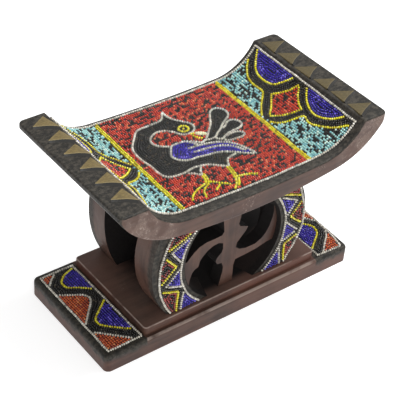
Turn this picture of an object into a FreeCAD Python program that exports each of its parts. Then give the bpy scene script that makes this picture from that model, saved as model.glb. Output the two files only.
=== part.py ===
import FreeCAD, Part
import math
import os

import Sketcher

from FreeCAD import Placement, Rotation, Vector

# A carved stool with a curved seat, two pierced ring panels and a stepped base.
# Seat, panels and base ends carry glass seed beads that are strung and laid in rows.
# Frame: millimetres, X along the seat, front towards -Y, +Z up, origin under the base centre.

os.makedirs("parts", exist_ok=True)
doc = FreeCAD.newDocument("beaded_stool")

# ---------------------------------------------------------------- driving dimensions
DIMENSIONS = (
    ("slab_length", 300.0), ("slab_depth", 133.0), ("slab_height", 19.0),
    ("slab_corner", 6.0), ("slab_edge", 3.4), ("slab_skew", 2.2),
    ("block_length", 208.0), ("block_depth", 122.0), ("block_height", 9.0),
    ("block_corner", 4.0), ("block_edge", 1.5),
    ("seat_length", 302.0), ("seat_depth", 168.0), ("seat_corner", 6.0), ("seat_edge", 1.8),
    ("seat_centre_top", 162.5), ("seat_centre_under", 143.0), ("rim_height", 194.6),
    ("crest_place", 122.5), ("tip_under", 190.0),
    ("top_bend_start", 76.0), ("top_radius", 1520.0),
    ("under_bend_start", 94.0), ("under_radius", 620.0),
    ("panel_front", 56.0), ("panel_back", 28.5), ("panel_top", 158.0),
    ("front_left_foot", 75.0), ("front_left_waist", 95.5), ("front_left_height", 88.0),
    ("front_right_foot", 68.8), ("front_right_waist", 87.8), ("front_right_height", 82.5),
    ("back_left_foot", 75.5), ("back_left_waist", 91.3), ("back_left_height", 90.0),
    ("back_right_foot", 75.5), ("back_right_waist", 91.3), ("back_right_height", 90.0),
    ("ring_centre", 78.5), ("opening_radius", 57.5), ("opening_inner_radius", 54.0),
    ("symbol_front", 50.5), ("symbol_back", 36.5),
    ("bead", 2.6), ("bed_width", 2.5),
    ("triangle_base_place", 124.5), ("triangle_apex_place", 144.5), ("triangle_half_width", 11.4),
    ("triangle_pitch", 25.4), ("left_triangle_shift", 3.7), ("right_triangle_shift", -0.6),
    ("triangle_relief", 2.2), ("triangle_fall", 2.2), ("triangle_count", 6.0),
    ("eye_radius", 4.9), ("pupil_radius", 1.6),
)
sheet = doc.addObject("Spreadsheet::Sheet", "Dimensions")
for row, (alias, value) in enumerate(DIMENSIONS, start=1):
    sheet.set("A%d" % row, alias)
    sheet.set("B%d" % row, str(value))
    sheet.setAlias("B%d" % row, alias)
doc.recompute()


def dim(alias):
    return float(sheet.get(alias))


BEAD = dim("bead")
ROW = dim("bed_width")
HIGH = 400.0          # height that upright prisms are drawn to, more than the stool's
TOUCH = 0.01          # places nearer than this are the same place
MITRE_LIMIT = 0.35    # keeps the corners of narrow bends from shooting out


# ---------------------------------------------------------------- seat profile
def arc_after(start_x, start_z, start_angle, end_x, end_z):
    """Radius and centre of the arc that leaves a point at an angle and reaches another point."""
    run = end_x - start_x
    rise = end_z - start_z
    radius = (run ** 2 + rise ** 2) / (2 * (rise * math.cos(start_angle) - run * math.sin(start_angle)))
    centre_x = start_x - radius * math.sin(start_angle)
    centre_z = start_z + radius * math.cos(start_angle)
    return radius, centre_x, centre_z


class SeatCurve:
    """Half of a smooth seat profile: a flat long arc, then a tighter one out to the end."""

    def __init__(self, centre_z, radius, bend_x, end_x, end_z):
        self.centre_z = centre_z
        self.radius = radius
        self.bend_x = bend_x
        self.bend_angle = math.asin(bend_x / radius)
        self.bend_z = centre_z + radius * (1 - math.cos(self.bend_angle))
        self.end_x = end_x
        self.end_z = end_z
        self.end_radius, self.end_cx, self.end_cz = arc_after(
            bend_x, self.bend_z, self.bend_angle, end_x, end_z)
        self.end_angle = math.asin((end_x - self.end_cx) / self.end_radius)

    def point(self, angle, lift=0.0):
        """Point of the curve where its slope is the angle, lifted along the normal."""
        if angle <= self.bend_angle:
            radius = self.radius - lift
            return radius * math.sin(angle), self.centre_z + self.radius - radius * math.cos(angle)
        radius = self.end_radius - lift
        return self.end_cx + radius * math.sin(angle), self.end_cz - radius * math.cos(angle)

    def along(self, length):
        """X of the place that lies a length along the curve from the centre, either way."""
        reach = abs(length)
        first = self.radius * self.bend_angle
        if reach <= first:
            x_place = self.point(reach / self.radius)[0]
        else:
            x_place = self.point(self.bend_angle + (reach - first) / self.end_radius)[0]
        return math.copysign(x_place, length)


top_curve = SeatCurve(dim("seat_centre_top"), dim("top_radius"), dim("top_bend_start"),
                      dim("crest_place"), dim("rim_height"))
under_curve = SeatCurve(dim("seat_centre_under"), dim("under_radius"), dim("under_bend_start"),
                        dim("seat_length") / 2, dim("tip_under"))


# ---------------------------------------------------------------- sketch helpers
def origin_plane(body, role):
    for feature in body.Origin.OriginFeatures:
        if feature.Role == role:
            return feature
    raise ValueError(role)


def new_body(name):
    body = doc.addObject("PartDesign::Body", name)
    body.Label = name
    return body


def body_sketch(body, name, role):
    sketch = body.newObject("Sketcher::SketchObject", name)
    sketch.AttachmentSupport = [(origin_plane(body, role), "")]
    sketch.MapMode = "FlatFace"
    return sketch


def add_loop(sketch, points):
    """Closed outline of straight segments."""
    ends = [Vector(x, y, 0) for x, y in points]
    for start, end in zip(ends, ends[1:] + ends[:1]):
        sketch.addGeometry(Part.LineSegment(start, end), False)


def rectangle_sketch(body, name, length_alias, depth_alias):
    """Centred rectangle whose length and depth follow the sheet."""
    sketch = body_sketch(body, name, "XY_Plane")
    half_x = dim(length_alias) / 2
    half_y = dim(depth_alias) / 2
    add_loop(sketch, [(-half_x, -half_y), (half_x, -half_y), (half_x, half_y), (-half_x, half_y)])
    for side in range(4):
        sketch.addConstraint(Sketcher.Constraint("Coincident", side, 2, (side + 1) % 4, 1))
    for side, kind in ((0, "Horizontal"), (1, "Vertical"), (2, "Horizontal"), (3, "Vertical")):
        sketch.addConstraint(Sketcher.Constraint(kind, side))
    sketch.addConstraint(Sketcher.Constraint("Symmetric", 0, 1, 1, 2, -1, 1))
    length = sketch.addConstraint(Sketcher.Constraint("Distance", 0, 2 * half_x))
    depth = sketch.addConstraint(Sketcher.Constraint("Distance", 1, 2 * half_y))
    sketch.setExpression("Constraints[%d]" % length, "Dimensions." + length_alias)
    sketch.setExpression("Constraints[%d]" % depth, "Dimensions." + depth_alias)
    return sketch


def fillet(body, base, name, edges, radius_alias):
    feature = body.newObject("PartDesign::Fillet", name)
    feature.Base = (base, edges)
    feature.setExpression("Radius", "Dimensions." + radius_alias)
    body.Tip = feature
    doc.recompute()
    return feature


def edges_where(feature, test):
    """Names of a feature's edges whose end points pass a test."""
    names = []
    for index, edge in enumerate(feature.Shape.Edges, start=1):
        if all(test(vertex.Point) for vertex in edge.Vertexes):
            names.append("Edge%d" % index)
    return names


def upright_edges(feature):
    names = []
    for index, edge in enumerate(feature.Shape.Edges, start=1):
        start, end = (vertex.Point for vertex in edge.Vertexes)
        if abs(start.z - end.z) > TOUCH and abs(start.x - end.x) + abs(start.y - end.y) < TOUCH:
            names.append("Edge%d" % index)
    return names


# ---------------------------------------------------------------- base
def slab_plan(body, name):
    """Plan of the slab, whose right end was cut a little out of square."""
    sketch = body_sketch(body, name, "XY_Plane")
    half_x = dim("slab_length") / 2
    half_y = dim("slab_depth") / 2
    skew = dim("slab_skew")
    right_end = [(half_x - skew, -half_y), (half_x + skew, half_y)]
    add_loop(sketch, [(-half_x, -half_y)] + right_end + [(-half_x, half_y)])
    return sketch


def block_plan(body, name):
    return rectangle_sketch(body, name, "block_length", "block_depth")


def rounded_block(name, plan, height_alias, corner_alias, edge_alias, lift):
    """Board with round corners and a softened upper edge."""
    body = new_body(name)
    sketch = plan(body, name + "_plan")
    sketch.AttachmentOffset = Placement(Vector(0, 0, lift), Rotation())
    pad = body.newObject("PartDesign::Pad", name + "_pad")
    pad.Profile = sketch
    pad.setExpression("Length", "Dimensions." + height_alias)
    doc.recompute()
    corners = fillet(body, pad, name + "_corners", upright_edges(pad), corner_alias)
    top = lift + dim(height_alias)
    rim = edges_where(corners, lambda point: abs(point.z - top) < TOUCH)
    fillet(body, corners, name + "_rim", rim, edge_alias)
    return body


slab_top = dim("slab_height")
block_top = slab_top + dim("block_height")
base_slab = rounded_block("base_slab", slab_plan, "slab_height", "slab_corner", "slab_edge", 0.0)
base_block = rounded_block("base_block", block_plan, "block_height", "block_corner", "block_edge", slab_top)


# ---------------------------------------------------------------- seat
def profile_arcs(sketch, curve, lift=0.0):
    """The three arcs of a seat curve, from its left end to its right end."""
    mid_angle = (curve.bend_angle + curve.end_angle) / 2
    right = [curve.point(angle, lift) for angle in (curve.bend_angle, mid_angle, curve.end_angle)]
    left = [(-x, z) for x, z in right]
    middle = (left[0], curve.point(0.0, lift), right[0])
    for run in (left, middle, right):
        sketch.addGeometry(Part.Arc(*[Vector(x, z, 0) for x, z in run]), False)


def add_line(sketch, start, end):
    sketch.addGeometry(Part.LineSegment(Vector(*start, 0), Vector(*end, 0)), False)


def mirrored_lines(sketch, points):
    """A run of lines on the right side and its mirror image on the left."""
    for start, end in zip(points, points[1:]):
        add_line(sketch, start, end)
        add_line(sketch, (-start[0], start[1]), (-end[0], end[1]))


def middle_pad(body, sketch, name, length_alias):
    pad = body.newObject("PartDesign::Pad", name)
    pad.Profile = sketch
    pad.Midplane = True
    pad.setExpression("Length", "Dimensions." + length_alias)
    doc.recompute()
    return pad


seat = new_body("seat")
seat_profile = body_sketch(seat, "seat_profile", "XZ_Plane")
half_seat = dim("seat_length") / 2
profile_arcs(seat_profile, top_curve)
profile_arcs(seat_profile, under_curve)
mirrored_lines(seat_profile, [(dim("crest_place"), dim("rim_height")), (half_seat, dim("rim_height")),
                              (half_seat, dim("tip_under"))])
seat_pad = middle_pad(seat, seat_profile, "seat_pad", "seat_depth")

# The four corners of the seat's plan are cut round.
corner_plan = body_sketch(seat, "corner_plan", "XY_Plane")
half_depth = dim("seat_depth") / 2
corner = dim("seat_corner")
for side_x in (-1, 1):
    for side_y in (-1, 1):
        tip = (side_x * (half_seat + 1), side_y * (half_depth + 1))
        along_x = (side_x * (half_seat - corner), side_y * half_depth)
        along_y = (side_x * half_seat, side_y * (half_depth - corner))
        round_mid = (side_x * (half_seat - corner * (1 - math.sqrt(0.5))),
                     side_y * (half_depth - corner * (1 - math.sqrt(0.5))))
        outer_x = (along_x[0], tip[1])
        outer_y = (tip[0], along_y[1])
        rounding = [Vector(*place, 0) for place in (along_x, round_mid, along_y)]
        corner_plan.addGeometry(Part.Arc(*rounding), False)
        add_line(corner_plan, along_y, outer_y)
        add_line(corner_plan, outer_y, tip)
        add_line(corner_plan, tip, outer_x)
        add_line(corner_plan, outer_x, along_x)
corner_pocket = seat.newObject("PartDesign::Pocket", "corner_pocket")
corner_pocket.Profile = corner_plan
corner_pocket.Type = "ThroughAll"
corner_pocket.Midplane = True
seat.Tip = corner_pocket
doc.recompute()
if corner_pocket.Shape.Volume >= seat_pad.Shape.Volume:
    raise RuntimeError("the corner pocket cuts nothing")


def on_seat_side(point):
    return abs(abs(point.y) - half_depth) < TOUCH


fillet(seat, corner_pocket, "seat_edges", edges_where(corner_pocket, on_seat_side), "seat_edge")


# ---------------------------------------------------------------- ring panels and symbols
FRONT = -1
BACK = 1


def front_pad(body, sketch, name, near_alias, far_alias, side):
    """Pad of an XZ sketch between two distances from the middle, towards the front or the back."""
    near = dim(near_alias)
    sketch.AttachmentOffset = Placement(Vector(0, 0, -side * near), Rotation())
    pad = body.newObject("PartDesign::Pad", name)
    pad.Profile = sketch
    pad.Reversed = side > 0
    pad.setExpression("Length", "Dimensions.%s - Dimensions.%s" % (far_alias, near_alias))
    doc.recompute()
    return pad


def cut_under_seat(name, blank):
    """The piece is let up to the underside of the seat."""
    piece = doc.addObject("Part::Cut", name + "_fitted")
    piece.Base = blank
    piece.Tool = seat
    piece.Label = name
    return piece


def opening_cone(name, side):
    """The round opening, cut to narrow from the outer face of a panel to its inner one."""
    cone = doc.addObject("Part::Cone", name)
    cone.setExpression("Radius1", "Dimensions.opening_radius")
    cone.setExpression("Radius2", "Dimensions.opening_inner_radius")
    cone.setExpression("Height", "Dimensions.panel_front - Dimensions.panel_back")
    outer = Vector(0, side * dim("panel_front"), dim("ring_centre"))
    cone.Placement = Placement(outer, Rotation(Vector(1, 0, 0), side * 90))
    return cone


def ring_panel(name, side):
    """Upright panel with bowed sides and a round opening."""
    body = new_body(name + "_blank")
    sketch = body_sketch(body, name + "_outline", "XZ_Plane")
    face = "front" if side == FRONT else "back"
    top = dim("panel_top")
    feet = []
    shoulders = []
    for hand, turn in (("left", -1), ("right", 1)):
        foot = dim("%s_%s_foot" % (face, hand))
        waist = dim("%s_%s_waist" % (face, hand))
        height = dim("%s_%s_height" % (face, hand))
        rise = height - block_top
        bulge = waist - foot
        radius = (rise ** 2 + bulge ** 2) / (2 * bulge)
        shoulder = waist - radius + math.sqrt(radius ** 2 - (top - height) ** 2)
        places = ((foot, block_top), (waist, height), (shoulder, top))
        sketch.addGeometry(Part.Arc(*[Vector(turn * x, z, 0) for x, z in places]), False)
        feet.append((turn * foot, block_top))
        shoulders.append((turn * shoulder, top))
    add_line(sketch, *feet)
    add_line(sketch, *shoulders)
    front_pad(body, sketch, name + "_pad", "panel_back", "panel_front", side)
    pierced = doc.addObject("Part::Cut", name + "_pierced")
    pierced.Base = body
    pierced.Tool = opening_cone(name + "_opening", side)
    return cut_under_seat(name, pierced)


# Outlines of the pierced symbol in the ring: a post with a barb to each side, and two hands
# that sweep out to the ring. Points are (x, z), and reach a little into what they touch.
POST = [(-10.5, 28), (-8.5, 37), (-6.5, 45), (-6.5, 52), (-8.5, 57), (-14, 58), (-16, 62), (-15, 66),
        (-9.5, 71), (-8.4, 75), (-9.0, 84), (-8.6, 96), (-10.8, 112), (-10.8, 150), (10.5, 150),
        (10.5, 106), (8.7, 98), (10.5, 94.5), (20.5, 90), (18.5, 86), (8.5, 75), (7.5, 69.5), (8.5, 55),
        (6.5, 48), (6.5, 28)]
RIGHT_HAND = [(0, 70), (8, 69), (12, 65.5), (20, 63), (32, 63), (39.5, 66.5), (44.5, 71.5), (48, 78),
              (51, 87), (52, 96), (51, 106), (60, 104), (64, 84), (62, 60), (47, 59), (34, 56), (24, 55),
              (8, 54), (0, 54)]
LEFT_HAND = [(0, 96), (-9, 95.5), (-11, 92.5), (-19, 92), (-29, 92), (-37, 90), (-43, 86), (-48, 81),
             (-51, 77.5), (-60, 78), (-62, 60), (-54, 45), (-47, 47), (-46.5, 53), (-44, 61), (-41, 64),
             (-37, 65.5), (-35.5, 72), (-32, 76.5), (-27, 81), (-20.5, 84), (-14, 84.5), (-9, 82),
             (-6, 76), (0, 76)]


def symbol(name, side):
    """Fretwork symbol set back inside the ring, touching the ring, the block and the seat."""
    pieces = []
    for index, outline in enumerate((POST, RIGHT_HAND, LEFT_HAND)):
        body = new_body("%s_strap_%d" % (name, index))
        sketch = body_sketch(body, "%s_outline_%d" % (name, index), "XZ_Plane")
        add_loop(sketch, [(-side * x, z) for x, z in outline])
        front_pad(body, sketch, "%s_pad_%d" % (name, index), "symbol_back", "symbol_front", side)
        pieces.append(body)
    joined = doc.addObject("Part::MultiFuse", name + "_joined")
    joined.Shapes = pieces
    inside = doc.addObject("Part::MultiCommon", name + "_inside")
    inside.Shapes = [joined, opening_cone(name + "_opening_core", side)]
    above = doc.addObject("Part::Cut", name)
    above.Base = inside
    above.Tool = base_block
    above.Label = name
    return above


wood = [base_slab, base_block, seat]
wood += [ring_panel("front_ring_panel", FRONT), ring_panel("back_ring_panel", BACK)]
wood += [symbol("front_symbol", FRONT), symbol("back_symbol", BACK)]


# ---------------------------------------------------------------- end triangles
def prism_of(plan, name, direction, length_alias, symmetric):
    """Solid swept from a closed plan in one direction."""
    solid = doc.addObject("Part::Extrusion", name)
    solid.Base = plan
    solid.DirMode = "Custom"
    solid.Dir = direction
    solid.Symmetric = symmetric
    solid.setExpression("LengthFwd", "Dimensions." + length_alias)
    solid.Solid = True
    return solid


def end_triangles(name, side):
    """Row of triangles cut in relief on one end strip of the seat, and painted a brassy colour.
    Each one's face climbs from its back corner to its front edge, and falls away steeply there."""
    hand = "left" if side < 0 else "right"
    base_x = side * dim("triangle_base_place")
    apex_x = side * dim("triangle_apex_place")
    half = dim("triangle_half_width")
    edge = Vector(apex_x - base_x, half, 0).normalize()
    forward = Vector(abs(edge.y), -abs(edge.x), 0)
    forward.x *= side
    fall = forward * dim("triangle_fall")
    plan = doc.addObject("Sketcher::SketchObject", name + "_plan")
    plan.Placement = Placement(Vector(0, 0, dim("rim_height")), Rotation())
    teeth = doc.addObject("Sketcher::SketchObject", name + "_teeth")
    upright = Rotation(forward, Vector(0, 0, 1), forward.cross(Vector(0, 0, 1)), "XYZ")
    teeth.Placement = Placement(Vector(0, 0, dim("rim_height")), upright)
    count = int(dim("triangle_count"))
    for step in range(count):
        middle = dim(hand + "_triangle_shift") + (step - (count - 1) / 2) * dim("triangle_pitch")
        back_corner = Vector(base_x, middle + half, 0)
        apex = Vector(apex_x, middle, 0)
        front_corner = Vector(base_x, middle - half, 0)
        outline = (back_corner, apex, apex + fall, front_corner + fall, front_corner)
        add_loop(plan, [(corner.x, corner.y) for corner in outline])
        low = back_corner.dot(forward)
        high = apex.dot(forward)
        add_loop(teeth, [(low, 0), (high, dim("triangle_relief")), (high + dim("triangle_fall"), 0)])
    relief = doc.addObject("Part::MultiCommon", name)
    relief.Shapes = [prism_of(plan, name + "_prisms", Vector(0, 0, 1), "rim_height", False),
                     prism_of(teeth, name + "_ridges", edge, "seat_length", True)]
    relief.Label = name
    return relief


triangles = [end_triangles("left_end_triangles", -1), end_triangles("right_end_triangles", 1)]
doc.recompute()


# ---------------------------------------------------------------- bead work helpers
def arc_points(centre_x, centre_z, radius, start, end, steps):
    """Points round an arc, with its start and end angles in degrees."""
    turns = [math.radians(start + (end - start) * step / steps) for step in range(steps + 1)]
    return [(centre_x + radius * math.cos(turn), centre_z + radius * math.sin(turn)) for turn in turns]


def side_points(points, distance, closed):
    """The run of points moved sideways, with mitred corners."""
    count = len(points)
    moved = []
    for index, (x, y) in enumerate(points):
        before = points[index - 1] if closed or index else None
        after = points[(index + 1) % count] if closed or index < count - 1 else None
        normals = []
        for start, end in ((before, (x, y)), ((x, y), after)):
            if start and end:
                run = (end[0] - start[0], end[1] - start[1])
                length = math.hypot(*run)
                normals.append((-run[1] / length, run[0] / length))
        mean = (sum(normal[0] for normal in normals) / len(normals),
                sum(normal[1] for normal in normals) / len(normals))
        square = max(mean[0] ** 2 + mean[1] ** 2, MITRE_LIMIT)
        moved.append((x + distance * mean[0] / square, y + distance * mean[1] / square))
    return moved


def string_loops(points, rows=1, closed=False):
    """Outline loops of one or more rows of beads laid side by side along a run of points."""
    half = rows * ROW / 2
    left = side_points(points, half, closed)
    right = side_points(points, -half, closed)
    return [left, right] if closed else [left + right[::-1]]


class Ground:
    """A surface that bead work is laid on. A curved one also has a thin layer that trims the work."""

    def __init__(self, layer, placement, facing, reach, warp=None):
        self.layer = layer
        self.placement = placement
        self.facing = facing
        self.reach = reach
        self.warp = warp or (lambda x, y: (x, y))
        self.laid = []

    def flat(self, name, loops):
        """Flat face over an outline, with any inner loop left open."""
        plan = doc.addObject("Sketcher::SketchObject", name + "_plan")
        plan.Placement = self.placement
        for loop in loops:
            add_loop(plan, [self.warp(x, y) for x, y in loop])
        face = doc.addObject("Part::Face", name + "_face")
        face.Sources = [plan]
        face.FaceMakerClass = "Part::FaceMakerBullseye"
        return face

    def lay(self, name, outlines):
        """One piece of bead work over its outlines, less all that is laid before it."""
        faces = [self.flat("%s_%d" % (name, index), loops) for index, loops in enumerate(outlines)]
        whole = faces[0]
        if len(faces) > 1:
            whole = doc.addObject("Part::MultiFuse", name + "_whole")
            whole.Shapes = faces
            whole.Refine = True
        doc.recompute()
        free = whole
        box = whole.Shape.BoundBox
        neighbours = [other for other in self.laid if other.Shape.BoundBox.intersect(box)]
        for index, other in enumerate(neighbours):
            trimmed = doc.addObject("Part::Cut", "%s_trim_%d" % (name, index))
            trimmed.Base = free
            trimmed.Tool = other
            free = trimmed
        prism = doc.addObject("Part::Extrusion", name + "_prism")
        prism.Base = free
        prism.DirMode = "Custom"
        prism.Dir = self.facing
        prism.LengthFwd = self.reach
        prism.Solid = True
        piece = prism
        if self.layer:
            piece = doc.addObject("Part::MultiCommon", name + "_bed")
            piece.Shapes = [self.layer, prism]
        piece.Label = name
        doc.recompute()
        self.laid.append(whole)
        return piece


# ---------------------------------------------------------------- seat bead work
def seat_layer():
    """Thin layer, one bead high, that follows the seat between its two crests."""
    profile = doc.addObject("Sketcher::SketchObject", "seat_layer_profile")
    profile.Placement = Placement(Vector(0, 0, 0), Rotation(Vector(1, 0, 0), 90))
    profile_arcs(profile, top_curve)
    profile_arcs(profile, top_curve, BEAD)
    ends = [top_curve.point(top_curve.end_angle, lift) for lift in (0.0, BEAD)]
    mirrored_lines(profile, ends)
    layer = doc.addObject("Part::Extrusion", "seat_layer")
    layer.Base = profile
    layer.DirMode = "Normal"
    layer.Symmetric = True
    layer.setExpression("LengthFwd", "Dimensions.seat_depth")
    layer.Solid = True
    return layer


# Places on the seat are (length along its curve, depth). The whole pattern leans a little.
LEAN = 0.03
LEAN_FROM = 78.0
FIELD_FRONT = -73.0
FIELD_BACK = 77.6
CREST = 131.0


def middle_line(depth):
    return LEAN * (depth - LEAN_FROM)


def across(points):
    """Mirror image of a run of points, which leans less the nearer it is to the crest."""
    lean_span = CREST - DOUBLE_STRING[0][0]
    return [(2 * middle_line(y) * min(1.0, max(0.0, (CREST - x) / lean_span)) - x, y) for x, y in points]


def seat_warp(along, depth):
    return top_curve.along(along), depth


seat_ground = Ground(seat_layer(), Placement(), Vector(0, 0, 1), HIGH, seat_warp)

BORDER = [(-CREST, FIELD_FRONT + 1.5), (0, FIELD_FRONT - 0.3), (CREST - 3, FIELD_FRONT - 1.5),
          (CREST, FIELD_BACK), (0, FIELD_BACK + 0.5), (-CREST + 1.5, FIELD_BACK)]
DOUBLE_STRING = [(67.3, FIELD_FRONT + 1), (71.6, FIELD_BACK - 1.5)]

# The bird, which looks back over its tail.
BODY = [(-3.9, 62.5), (-4, 57), (-2.6, 50), (1.8, 42.8), (6.8, 37), (9.2, 31.5), (7.6, 26), (3.5, 21.8),
        (-1.5, 20.6), (-7, 21.5), (-10.5, 25), (-14, 31), (-19, 36), (-26, 38.4), (-34, 36), (-40, 30.5),
        (-42, 24), (-39, 18.4), (-33, 14.5), (-27.8, 12.8), (-20, 13.4), (-12.8, 12.6), (-6.5, 8.5),
        (-1, 3), (5, 4), (14, 2.5), (20, -3.5), (24, -14), (27, -22), (20.5, -27.3), (14, -28),
        (8.5, -28.8), (4.3, -30.5), (1.5, -35), (-1.2, -39.5), (-7.8, -35.4), (-13, -30.8), (-18, -27.8),
        (-24, -26.2), (-30.3, -25), (-36.5, -26), (-44, -27.5), (-51.5, -27.3), (-57.8, -26),
        (-61.8, -22.3), (-63.8, -14.8), (-63.4, -6), (-64.6, 2.8), (-65.5, 11.5), (-65, 20), (-63.2, 26.5),
        (-59, 32.5), (-52.8, 39), (-47.1, 45.3), (-42.8, 49), (-37.5, 50.9), (-26.5, 51.4), (-16.5, 51.8),
        (-11.5, 53.4), (-7.8, 57.5)]
THIGH = [(-44, -27.5), (-37.5, -31.5), (-31.5, -37), (-28.5, -32), (-24, -26.2), (-30.3, -25), (-36.5, -26)]
WING = [(-27.8, 12.8), (-30.8, 10.3), (-35.3, 4.6), (-38.4, -1), (-36.5, -7.3), (-31.5, -11.6),
        (-25.3, -13.8), (-17.8, -13.8), (-7.8, -15.4), (-2, -15.8), (5.5, -17.9), (11.8, -21.6),
        (18, -26.6), (24.3, -32.3), (31.5, -37.4), (31.8, -33.5), (29.9, -27.3), (26.8, -19.8),
        (23, -12.9), (18, -7.9), (11.8, -4.1), (3, -1), (-4.5, 1), (-8.5, 7), (-12.8, 12.4), (-20, 13.4)]
WING_STRIPES = [[(-16.5, 2.1), (-10, 1.3), (-4.5, 0.9)],
                [(-15.3, -5.4), (-7.8, -6), (-0.3, -7), (4.3, -7.9), (11.8, -10.4), (18, -14.8),
                 (23, -21), (26.5, -28)]]
FEATHERS = [
    [(5.5, 4), (10.5, 9), (18, 16.5), (25.5, 24), (31.8, 32.8), (36.8, 39), (41.8, 41.3), (46.8, 39.6),
     (49.9, 34.6), (49.5, 28.5), (46, 23.8), (40.5, 20.3), (34.3, 16.5), (28, 11.5), (21.8, 7.8),
     (14.9, 2.8)],
    [(14.9, 2.8), (21.8, 7.8), (28, 10.6), (34.3, 12.6), (38.5, 15.9), (43, 17.8), (48, 15.9), (51, 10.3),
     (49.3, 5.3), (44.3, 2.6), (36.8, 2.4), (30.5, 1.8), (24.3, -0.5), (19.3, -2.9)],
    [(20.5, -3.5), (26.8, -1), (34.3, 0), (40.5, -2.3), (43, -6), (41, -9.1), (35.5, -9.6), (28, -8.7),
     (23, -7.9)]]
LEGS_THICK = [[(-30.3, -37.5), (-31, -43.5), (-33, -48.5)], [(-2.4, -41), (-3.9, -48.5), (-6, -55.5)]]
TOES = [[(-33, -48.8), (-41.5, -51.5), (-50.3, -55), (-57, -59.5), (-60.5, -63.8)],
        [(-32, -50.5), (-40.3, -55.5), (-44.6, -60), (-47, -66)],
        [(-31.8, -48.2), (-24, -55.4), (-17.8, -61.6)], [(-24.6, -57), (-28.5, -59.3), (-32.8, -62.3)],
        [(-7.4, -57.3), (-11.5, -63.5), (-17.1, -69.2)], [(-4.4, -57.5), (-7.3, -62.3), (-11, -66.5)],
        [(-2.4, -56.6), (3, -57.8), (7.5, -59.1), (13.6, -62.5)]]
BEAK = [[(-0.8, 19), (1.6, 18.6)], [(-1, 15.5), (0.4, 11), (3.3, 8.2)]]
EYE_CENTRE = (-2.3, 30.0)
EGG_CENTRE = (6.8, 14.6)
EGG_LENGTH = 10.5
EGG_WIDTH = 5.0
EGG_TURN = -40.0
OVAL_POINTS = 12


def oval(centre, length, width, turn):
    """Points round an oval, whose long axis is turned by an angle in degrees."""
    lean = math.radians(turn)
    points = []
    for x, y in arc_points(0, 0, 0.5, 0, 360, OVAL_POINTS)[:-1]:
        along = x * length
        aside = y * width
        points.append((centre[0] + along * math.cos(lean) - aside * math.sin(lean),
                       centre[1] + along * math.sin(lean) + aside * math.cos(lean)))
    return points


EYE = oval(EYE_CENTRE, 2 * dim("eye_radius"), 2 * dim("eye_radius"), 0.0)
PUPIL = oval(EYE_CENTRE, 2 * dim("pupil_radius"), 2 * dim("pupil_radius"), 0.0)
EGG = oval(EGG_CENTRE, EGG_LENGTH, EGG_WIDTH, EGG_TURN)

# Right end band: yellow arcs, half discs on the crest, and a diamond between them.
OUTER_UPPER = [(74.6, 7.2), (85, 19.6), (93.8, 28.4), (97.5, 33.5), (97.5, 42.8), (98, 51.5),
               (100.6, 60.3), (104.4, 66), (110, 72), (116.5, 76.3)]
OUTER_LOWER = [(74.4, -7), (78.8, -12), (86.3, -16.6), (102, -23.8), (100.3, -34.8), (103.1, -43.5),
               (106.9, -52.3), (112.5, -61), (119.8, -68.8), (121, -70.5)]
DISC_UPPER = [(128.3, 71.8), (121.3, 67.8), (113.8, 62.1), (109.4, 55.3), (107.3, 46.5), (107.5, 37.8),
              (110, 29.3), (116.3, 23.4), (125.5, 15.5)]
DISC_LOWER = [(128, -5), (120, -10.4), (114.4, -17.3), (111, -26), (110.6, -34.8), (113.1, -43.5),
              (116.9, -51), (122.3, -57.3), (127, -61.6)]
DIAMOND = [(101, 22.8), (107.5, 15.9), (115, 9.2), (124.8, 3.8), (116.3, -1.3), (110.3, -7.9),
           (106.9, -16), (98.8, -12), (88.8, -6.4), (79.4, 1.3), (90, 10.6)]
CREST_LINE = [(CREST, FIELD_BACK), (CREST - 3, FIELD_FRONT)]
HALF_DISCS = [[(CREST, 74.5)] + DISC_UPPER + [(CREST, 13)],
              [(CREST, -2)] + DISC_LOWER + [(CREST - 2, -64)]]
BLACK_BAND = OUTER_UPPER + CREST_LINE + OUTER_LOWER[::-1]


def lay_seat():
    """All the bead work of the seat, outer strings first, then the fields between them."""
    ground = seat_ground
    done = [ground.lay("seat_border_string", [string_loops(BORDER, closed=True)])]
    sides = (("right", lambda points: points), ("left", across))
    for side, place in sides:
        loops = string_loops(place(DOUBLE_STRING), rows=2)
        done.append(ground.lay("seat_%s_double_string" % side, [loops]))
    done += [
        ground.lay("bird_eye", [string_loops(EYE, closed=True), [PUPIL]]),
        ground.lay("bird_egg", [[EGG]]),
        ground.lay("bird_beak_strings", [string_loops(run) for run in BEAK]),
        ground.lay("bird_wing_strings", [string_loops(WING, closed=True)]
                   + [string_loops(stripe) for stripe in WING_STRIPES]),
        ground.lay("bird_wing_field", [[WING]]),
        ground.lay("bird_tail_strings", [string_loops(loop, closed=True) for loop in FEATHERS]),
        ground.lay("bird_tail_fields", [[loop] for loop in FEATHERS]),
        ground.lay("bird_outline_string", [string_loops(loop, closed=True) for loop in (BODY, THIGH)]),
        ground.lay("bird_body_field", [[BODY], [THIGH]]),
        ground.lay("bird_leg_strings", [string_loops(run, rows=2) for run in LEGS_THICK]
                   + [string_loops(run) for run in TOES]),
    ]
    done.append(ground.lay("seat_red_field", [[across(DOUBLE_STRING) + DOUBLE_STRING[::-1]]]))
    for side, place in sides:
        arcs = [place(run) for run in (OUTER_UPPER, OUTER_LOWER, DISC_UPPER, DISC_LOWER)]
        diamond_loop = place(DIAMOND)
        done.append(ground.lay("seat_%s_arc_strings" % side, [string_loops(run) for run in arcs]
                               + [string_loops(diamond_loop, closed=True)]))
        done.append(ground.lay("seat_%s_half_discs" % side, [[place(disc)] for disc in HALF_DISCS]))
        done.append(ground.lay("seat_%s_diamond" % side, [[diamond_loop]]))
        done.append(ground.lay("seat_%s_black_band" % side, [[place(BLACK_BAND)]]))
        field = DOUBLE_STRING + CREST_LINE
        done.append(ground.lay("seat_%s_turquoise_field" % side, [[place(field)]]))
    return done


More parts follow.
